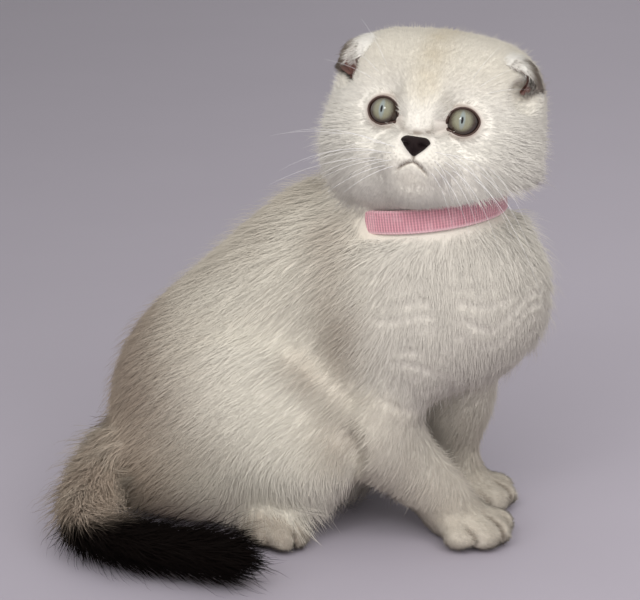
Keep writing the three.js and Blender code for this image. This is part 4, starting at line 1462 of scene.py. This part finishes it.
def nose_mesh():
    """The nose leather: broad over the nostrils, narrow at the lip, with a fine groove."""
    front, height = -39.2, -10.0  # the place of its middle in the head's frame
    wide, deep, upper, lower = 6.2, 3.4, 3.3, 4.6
    bm = bmesh.new()
    bmesh.ops.create_uvsphere(bm, u_segments=72, v_segments=48, radius=1.0)
    for vert in bm.verts:
        x, y, z = vert.co
        taper = 1 - 0.58 * max(0.0, min(1.0, (0.35 - z) / 1.2))
        box = (1 - min(0.97, max(0.0, z)) ** 2) ** -0.28
        px, py, pz = x * (wide * taper * box), y * deep, z * (upper if z > 0 else lower)
        if y < 0:
            top = max(0.0, z - 0.45)
            py += 2.2 * top * top
            for sign in (-1, 1):
                pit = math.exp(-(((px - sign * 2.9) / 1.15) ** 2) - ((pz + 0.3) / 0.85) ** 2)
                tail = math.exp(-(((px - sign * 4.5) / 1.3) ** 2) - ((pz - 0.15) / 0.45) ** 2)
                swell = math.exp(-(((px - sign * 3.4) / 1.6) ** 2) - ((pz - 1.9) / 1.1) ** 2)
                py += 2.0 * pit + 1.1 * tail - 0.45 * swell
            groove = math.exp(-((px / 0.42) ** 2)) * max(0.0, min(1.0, 0.4 - z))
            py += 0.7 * groove
        vert.co = HEAD @ (Vector((px, front + py, height + pz)) * MM)
    return closed_mesh(bm, "nose_leather")


def nose_finish(face):
    finish = Finish("nose_leather")
    where = finish.place()
    pebbles = finish.node(
        "ShaderNodeTexVoronoi", {"feature": "F1"}, {"Vector": where, "Scale": 2300.0}
    )
    tint = finish.blend(finish.noise(where, 420, 3), face.nose, times(face.nose, 2.6))
    return finish.surface(
        Base_Color=tint, Roughness=0.55, Specular_IOR_Level=0.1,
        Normal=finish.bump(pebbles, 0.00022, 0.7),
    )


# Whiskers


def whisker_paths(draw):
    """Rows of whiskers on each pad, a few over each eye, and their radii."""
    paths, radii = [], []
    steps = np.linspace(0, 1, 14)

    def grow(root, way, long, droop, thick):
        way = unit(np.array(way))
        path = (
            np.array(root)
            + np.outer(steps * long, way)
            + np.outer(steps**2 * long * droop, np.array([0, 0.15, -1.0]))
        )
        paths.append(path)
        radii.append(thick * (1 - steps * 0.86))

    for _, sign in SIDES:
        for row in range(4):
            for k in range(4 if row < 3 else 2):
                root = (sign * (6.0 + 2.7 * k), -37.6 + 1.0 * k + 0.35 * k * k, -12.8 - 2.1 * row)
                fan = 0.55 - 0.34 * row + 0.06 * draw.normal()
                way = (sign * (0.72 + 0.1 * k), -0.42 + 0.16 * k + 0.08 * draw.normal(), fan * 0.55)
                long = (26 + 7 * k - 2.5 * row) * (1 + 0.1 * draw.normal()) * (1.1 if sign < 0 else 0.85)
                droop = (0.4 if sign < 0 else 0.95) + 0.06 * draw.normal()
                grow(root, way, long, droop, 0.12)
        for k in range(3):
            root = (sign * (14 + 2.2 * k), -29 + 0.6 * k, 12.6 - 0.6 * k)
            way = (sign * (0.42 + 0.2 * k), -0.25, 0.85 - 0.2 * k)
            grow(root, way, 34 - 5 * k + 2 * draw.normal(), 0.22, 0.09)
    return np.array(paths), np.array(radii)


def whisker_finish(face):
    finish = Finish("whisker")
    streak = finish.noise(finish.place(), 400, 1)
    tint = finish.blend(streak, face.whisker, times(face.whisker, 0.8))
    return finish.surface(Base_Color=tint, Roughness=0.35, Specular_IOR_Level=0.4)


# Collar


def collar_mesh(collar):
    """The webbing: a flat band turned round the neck, with soft edges."""
    bm = bmesh.new()
    outer, inner = collar.radius, collar.radius - collar.thickness
    half = collar.height / 2
    soft = collar.thickness * 0.35
    # round the band's section, from its inner foot
    profile = [
        (inner, -half + soft), (inner + soft, -half), (outer - soft, -half), (outer, -half + soft),
        (outer, -half * 0.55), (outer, half * 0.55), (outer, half - soft), (outer - soft, half),
        (inner + soft, half), (inner, half - soft),
    ]
    verts = [bm.verts.new((r, 0, z)) for r, z in profile]
    edges = [bm.edges.new((a, b)) for a, b in zip(verts, verts[1:] + verts[:1])]
    bmesh.ops.spin(
        bm, geom=verts + edges, cent=(0, 0, 0), axis=(0, 0, 1), angle=2 * math.pi, steps=300,
        use_merge=True, use_duplicate=False,
    )
    bmesh.ops.remove_doubles(bm, verts=bm.verts, dist=1e-6)
    bmesh.ops.recalc_face_normals(bm, faces=bm.faces)
    around = bm.loops.layers.uv.new("webbing")
    for face in bm.faces:
        middle = face.calc_center_median()
        turn = math.atan2(middle.y, middle.x)
        for loop in face.loops:
            own = math.atan2(loop.vert.co.y, loop.vert.co.x)
            own += 2 * math.pi * round((turn - own) / (2 * math.pi))
            loop[around].uv = (own / (2 * math.pi) + 0.5, loop.vert.co.z / collar.height + 0.5)
    turn = Matrix.Rotation(-NECK_LEAN, 4, "X")
    bmesh.ops.transform(
        bm, verts=bm.verts,
        matrix=Matrix.Translation(COLLAR_SPOT) @ turn @ Matrix.Diagonal((1, collar.stretch, 1, 1)),
    )
    return mesh_of(bm, "collar_band")


RIBS, WEFTS = 165, 9  # of the webbing, round the neck and across the band


def collar_finish(collar):
    finish = Finish("collar_webbing")
    where = finish.node("ShaderNodeUVMap", {"uv_map": "webbing"})
    u, v, _ = finish.split(where)
    rib = (u * (2 * math.pi * RIBS)).sine() * 0.5 + 0.5
    weft = (v * (2 * math.pi * WEFTS)).sine() * 0.5 + 0.5
    woven = rib * 0.75 + weft * 0.25
    worn = finish.noise(finish.place(), 260, 3)
    tint = finish.blend(finish.step(woven, 0.1, 0.9), times(collar.pink, 0.62), collar.pink)
    tint = finish.blend(finish.step(worn, 0.45, 0.75, 0.0, 0.35), tint, collar.edge)
    edge = finish.step(v, 0.16, 0.06)
    edge = edge + finish.step(v, 0.88, 0.96, 0.0, 0.6)
    tint = finish.blend(edge, tint, collar.edge)
    return finish.surface(
        Base_Color=tint, Roughness=0.8, Specular_IOR_Level=0.25, Sheen_Weight=0.3,
        Normal=finish.bump(woven, 0.0004, 0.9),
    )


# Operators


TARGET = Vector((-0.00215, -0.00752, 0.096))  # what the camera and the lamps look at
VIEW_TURN, VIEW_RISE = math.radians(-70), math.radians(17)
SENSOR, LENS = 36, 137.35
# Each lamp's place, size and share of the key light's power. Only the last shows in the eyes.
LAMPS = {
    "key": ((-1.0, -0.8, 1.15), 1.7, 1.0),
    "fill": ((-1.3, 0.35, 0.75), 1.2, 0.32),
    "catch_light": ((-1.02, -0.004, 0.89), 0.26, 0.1),
}


class KITTEN_OT_stage(bpy.types.Operator):
    """Sets the floor, the soft light and the camera"""

    bl_idname = "kitten.stage"
    bl_label = "Stage"

    def execute(self, context):
        stage = context.scene.kitten_stage
        bm = bmesh.new()
        bmesh.ops.create_grid(bm, x_segments=8, y_segments=8, size=6.0)
        floor = linked("floor", mesh_of(bm, "floor"))
        finish = Finish("floor")
        mottle = finish.noise(finish.place(), 9, 4)
        tint = finish.blend(mottle, stage.floor, times(stage.floor, 1.05))
        # painted light on the floor: darker farther from the camera, and lighter on one side than the other
        away, across, _ = finish.split(finish.place(turn=(0, 0, math.radians(90) + VIEW_TURN)))
        painted_falloff = finish.step(away, 0.1, 1.3, 1.0, 0.90) * finish.step(across, -0.35, 0.4, 1.13, 0.86)
        tint = finish.node("ShaderNodeHueSaturation", {}, {"Color": tint, "Value": painted_falloff})
        floor.data.materials.append(finish.surface(Base_Color=tint, Roughness=0.7))

        world = bpy.data.worlds.new("room")
        world.use_nodes = True
        back = world.node_tree.nodes["Background"]
        back.inputs["Color"].default_value = (*stage.sky, 1)
        back.inputs["Strength"].default_value = stage.strength
        context.scene.world = world
        context.scene.view_settings.view_transform = "Standard"

        for name, (spot, size, power) in LAMPS.items():
            data = bpy.data.lights.new(name, "AREA")
            data.energy, data.size, data.shape = stage.key * power, size, "DISK"
            lamp = linked(name, data)
            lamp.location = spot
            lamp.visible_glossy = name == "catch_light"
            lamp.rotation_euler = (TARGET - Vector(spot)).to_track_quat("-Z", "Y").to_euler()

        back = Vector((
            math.sin(VIEW_TURN) * math.cos(VIEW_RISE),
            -math.cos(VIEW_TURN) * math.cos(VIEW_RISE),
            math.sin(VIEW_RISE),
        ))
        data = bpy.data.cameras.new("camera")
        data.sensor_width, data.lens = SENSOR, LENS
        camera = linked("camera", data)
        camera.location = TARGET + back * stage.distance
        camera.rotation_euler = (-back).to_track_quat("-Z", "Y").to_euler()
        context.scene.camera = camera
        return {"FINISHED"}


class KITTEN_OT_skin(bpy.types.Operator):
    """Makes the one skin under the coat"""

    bl_idname = "kitten.skin"
    bl_label = "Skin"

    def execute(self, context):
        scene = context.scene
        mesh = build_skin(scene.kitten_skin, scene.kitten_face)
        head = in_head(points_of(mesh))
        lips = ramp(furrows(head), 0.7, 1.4) * (1 - 0.6 * ramp(np.abs(head[:, 0]), 2, 8))
        hollow = np.where(Skin.inside, 1.0, ear_hollow(head))
        add_attribute(mesh, "tone", Skin.tone)
        add_attribute(mesh, "lips", lips)
        add_attribute(mesh, "bare", np.maximum(near_eyes(head, 9.8, 10.6) * 0.4, hollow))
        piece = new_piece("skin", mesh, skin_finish(scene.kitten_coat, scene.kitten_face))
        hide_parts(*FLESH)
        Skin.piece = piece
        context.view_layer.objects.active = piece
        piece.select_set(True)
        bpy.ops.object.mode_set(mode="EDIT")
        bpy.ops.mesh.select_all(action="SELECT")
        bpy.ops.uv.smart_project(angle_limit=math.radians(70), island_margin=0.002)
        bpy.ops.object.mode_set(mode="OBJECT")
        mesh.uv_layers[0].name = "OFBake"
        return {"FINISHED"}


class KITTEN_OT_eyes(bpy.types.Operator):
    """Makes both eyeballs and the dark rims of their lids"""

    bl_idname = "kitten.eyes"
    bl_label = "Eyes"

    def execute(self, context):
        face = context.scene.kitten_face
        rim = rim_finish(face)
        for side, _ in SIDES:
            eye = new_piece(f"eyeball_{side}", eye_mesh(side, face), eye_finish(side, face))
            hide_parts(f"eye_{side}")
            new_piece(f"lid_rim_{side}", rim_mesh(side, face), rim)
        return {"FINISHED"}


class KITTEN_OT_nose(bpy.types.Operator):
    """Makes the nose leather with its nostrils"""

    bl_idname = "kitten.nose"
    bl_label = "Nose"

    def execute(self, context):
        face = context.scene.kitten_face
        nose = new_piece("nose_leather", nose_mesh(), nose_finish(face))
        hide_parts("nose")
        return {"FINISHED"}


class KITTEN_OT_collar(bpy.types.Operator):
    """Makes the woven collar"""

    bl_idname = "kitten.collar"
    bl_label = "Collar"

    def execute(self, context):
        collar = context.scene.kitten_collar
        band = new_piece("collar_band", collar_mesh(collar), collar_finish(collar))
        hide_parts("collar")
        return {"FINISHED"}


class KITTEN_OT_coat(bpy.types.Operator):
    """Grows the coat of tufts over the skin"""

    bl_idname = "kitten.coat"
    bl_label = "Coat"

    def execute(self, context):
        coat = context.scene.kitten_coat
        if Skin.piece is None:
            raise RuntimeError("make the skin before its coat")
        build_coat(coat, context.scene.kitten_face, coat_finish(coat))
        return {"FINISHED"}


class KITTEN_OT_whiskers(bpy.types.Operator):
    """Grows the whiskers and the brow hairs"""

    bl_idname = "kitten.whiskers"
    bl_label = "Whiskers"

    def execute(self, context):
        face = context.scene.kitten_face
        paths, radii = whisker_paths(np.random.default_rng(5))
        world = out_of_head(paths.reshape(-1, 3)).reshape(paths.shape)
        new_piece("whiskers", strands(world, radii * MM), whisker_finish(face))
        return {"FINISHED"}


class KITTEN_PT_panel(bpy.types.Panel):
    """The kitten's pieces"""

    bl_label = "Kitten"
    bl_idname = "KITTEN_PT_panel"
    bl_space_type = "VIEW_3D"
    bl_region_type = "UI"
    bl_category = "Kitten"

    def draw(self, context):
        for step in STEPS:
            self.layout.operator(step.bl_idname)
        for name in GROUP_NAMES:
            box = self.layout.box()
            group = getattr(context.scene, name)
            for key in group.__annotations__:
                box.prop(group, key)


STEPS = (
    KITTEN_OT_stage,
    KITTEN_OT_skin,
    KITTEN_OT_eyes,
    KITTEN_OT_nose,
    KITTEN_OT_collar,
    KITTEN_OT_coat,
    KITTEN_OT_whiskers,
)
GROUP_NAMES = {
    "kitten_skin": KittenSkin,
    "kitten_face": KittenFace,
    "kitten_coat": KittenCoat,
    "kitten_collar": KittenCollar,
    "kitten_stage": KittenStage,
}
CLASSES = tuple(GROUP_NAMES.values()) + STEPS + (KITTEN_PT_panel,)


def register():
    for kind in CLASSES:
        bpy.utils.register_class(kind)
    for name, kind in GROUP_NAMES.items():
        setattr(bpy.types.Scene, name, bpy.props.PointerProperty(type=kind))


def unregister():
    for name in GROUP_NAMES:
        delattr(bpy.types.Scene, name)
    for kind in reversed(CLASSES):
        bpy.utils.unregister_class(kind)


def main():
    register()
    bpy.ops.kitten.stage()
    bpy.ops.kitten.skin()
    bpy.ops.kitten.eyes()
    bpy.ops.kitten.nose()
    bpy.ops.kitten.collar()
    bpy.ops.kitten.coat()
    bpy.ops.kitten.whiskers()


if __name__ == "__main__":
    main()
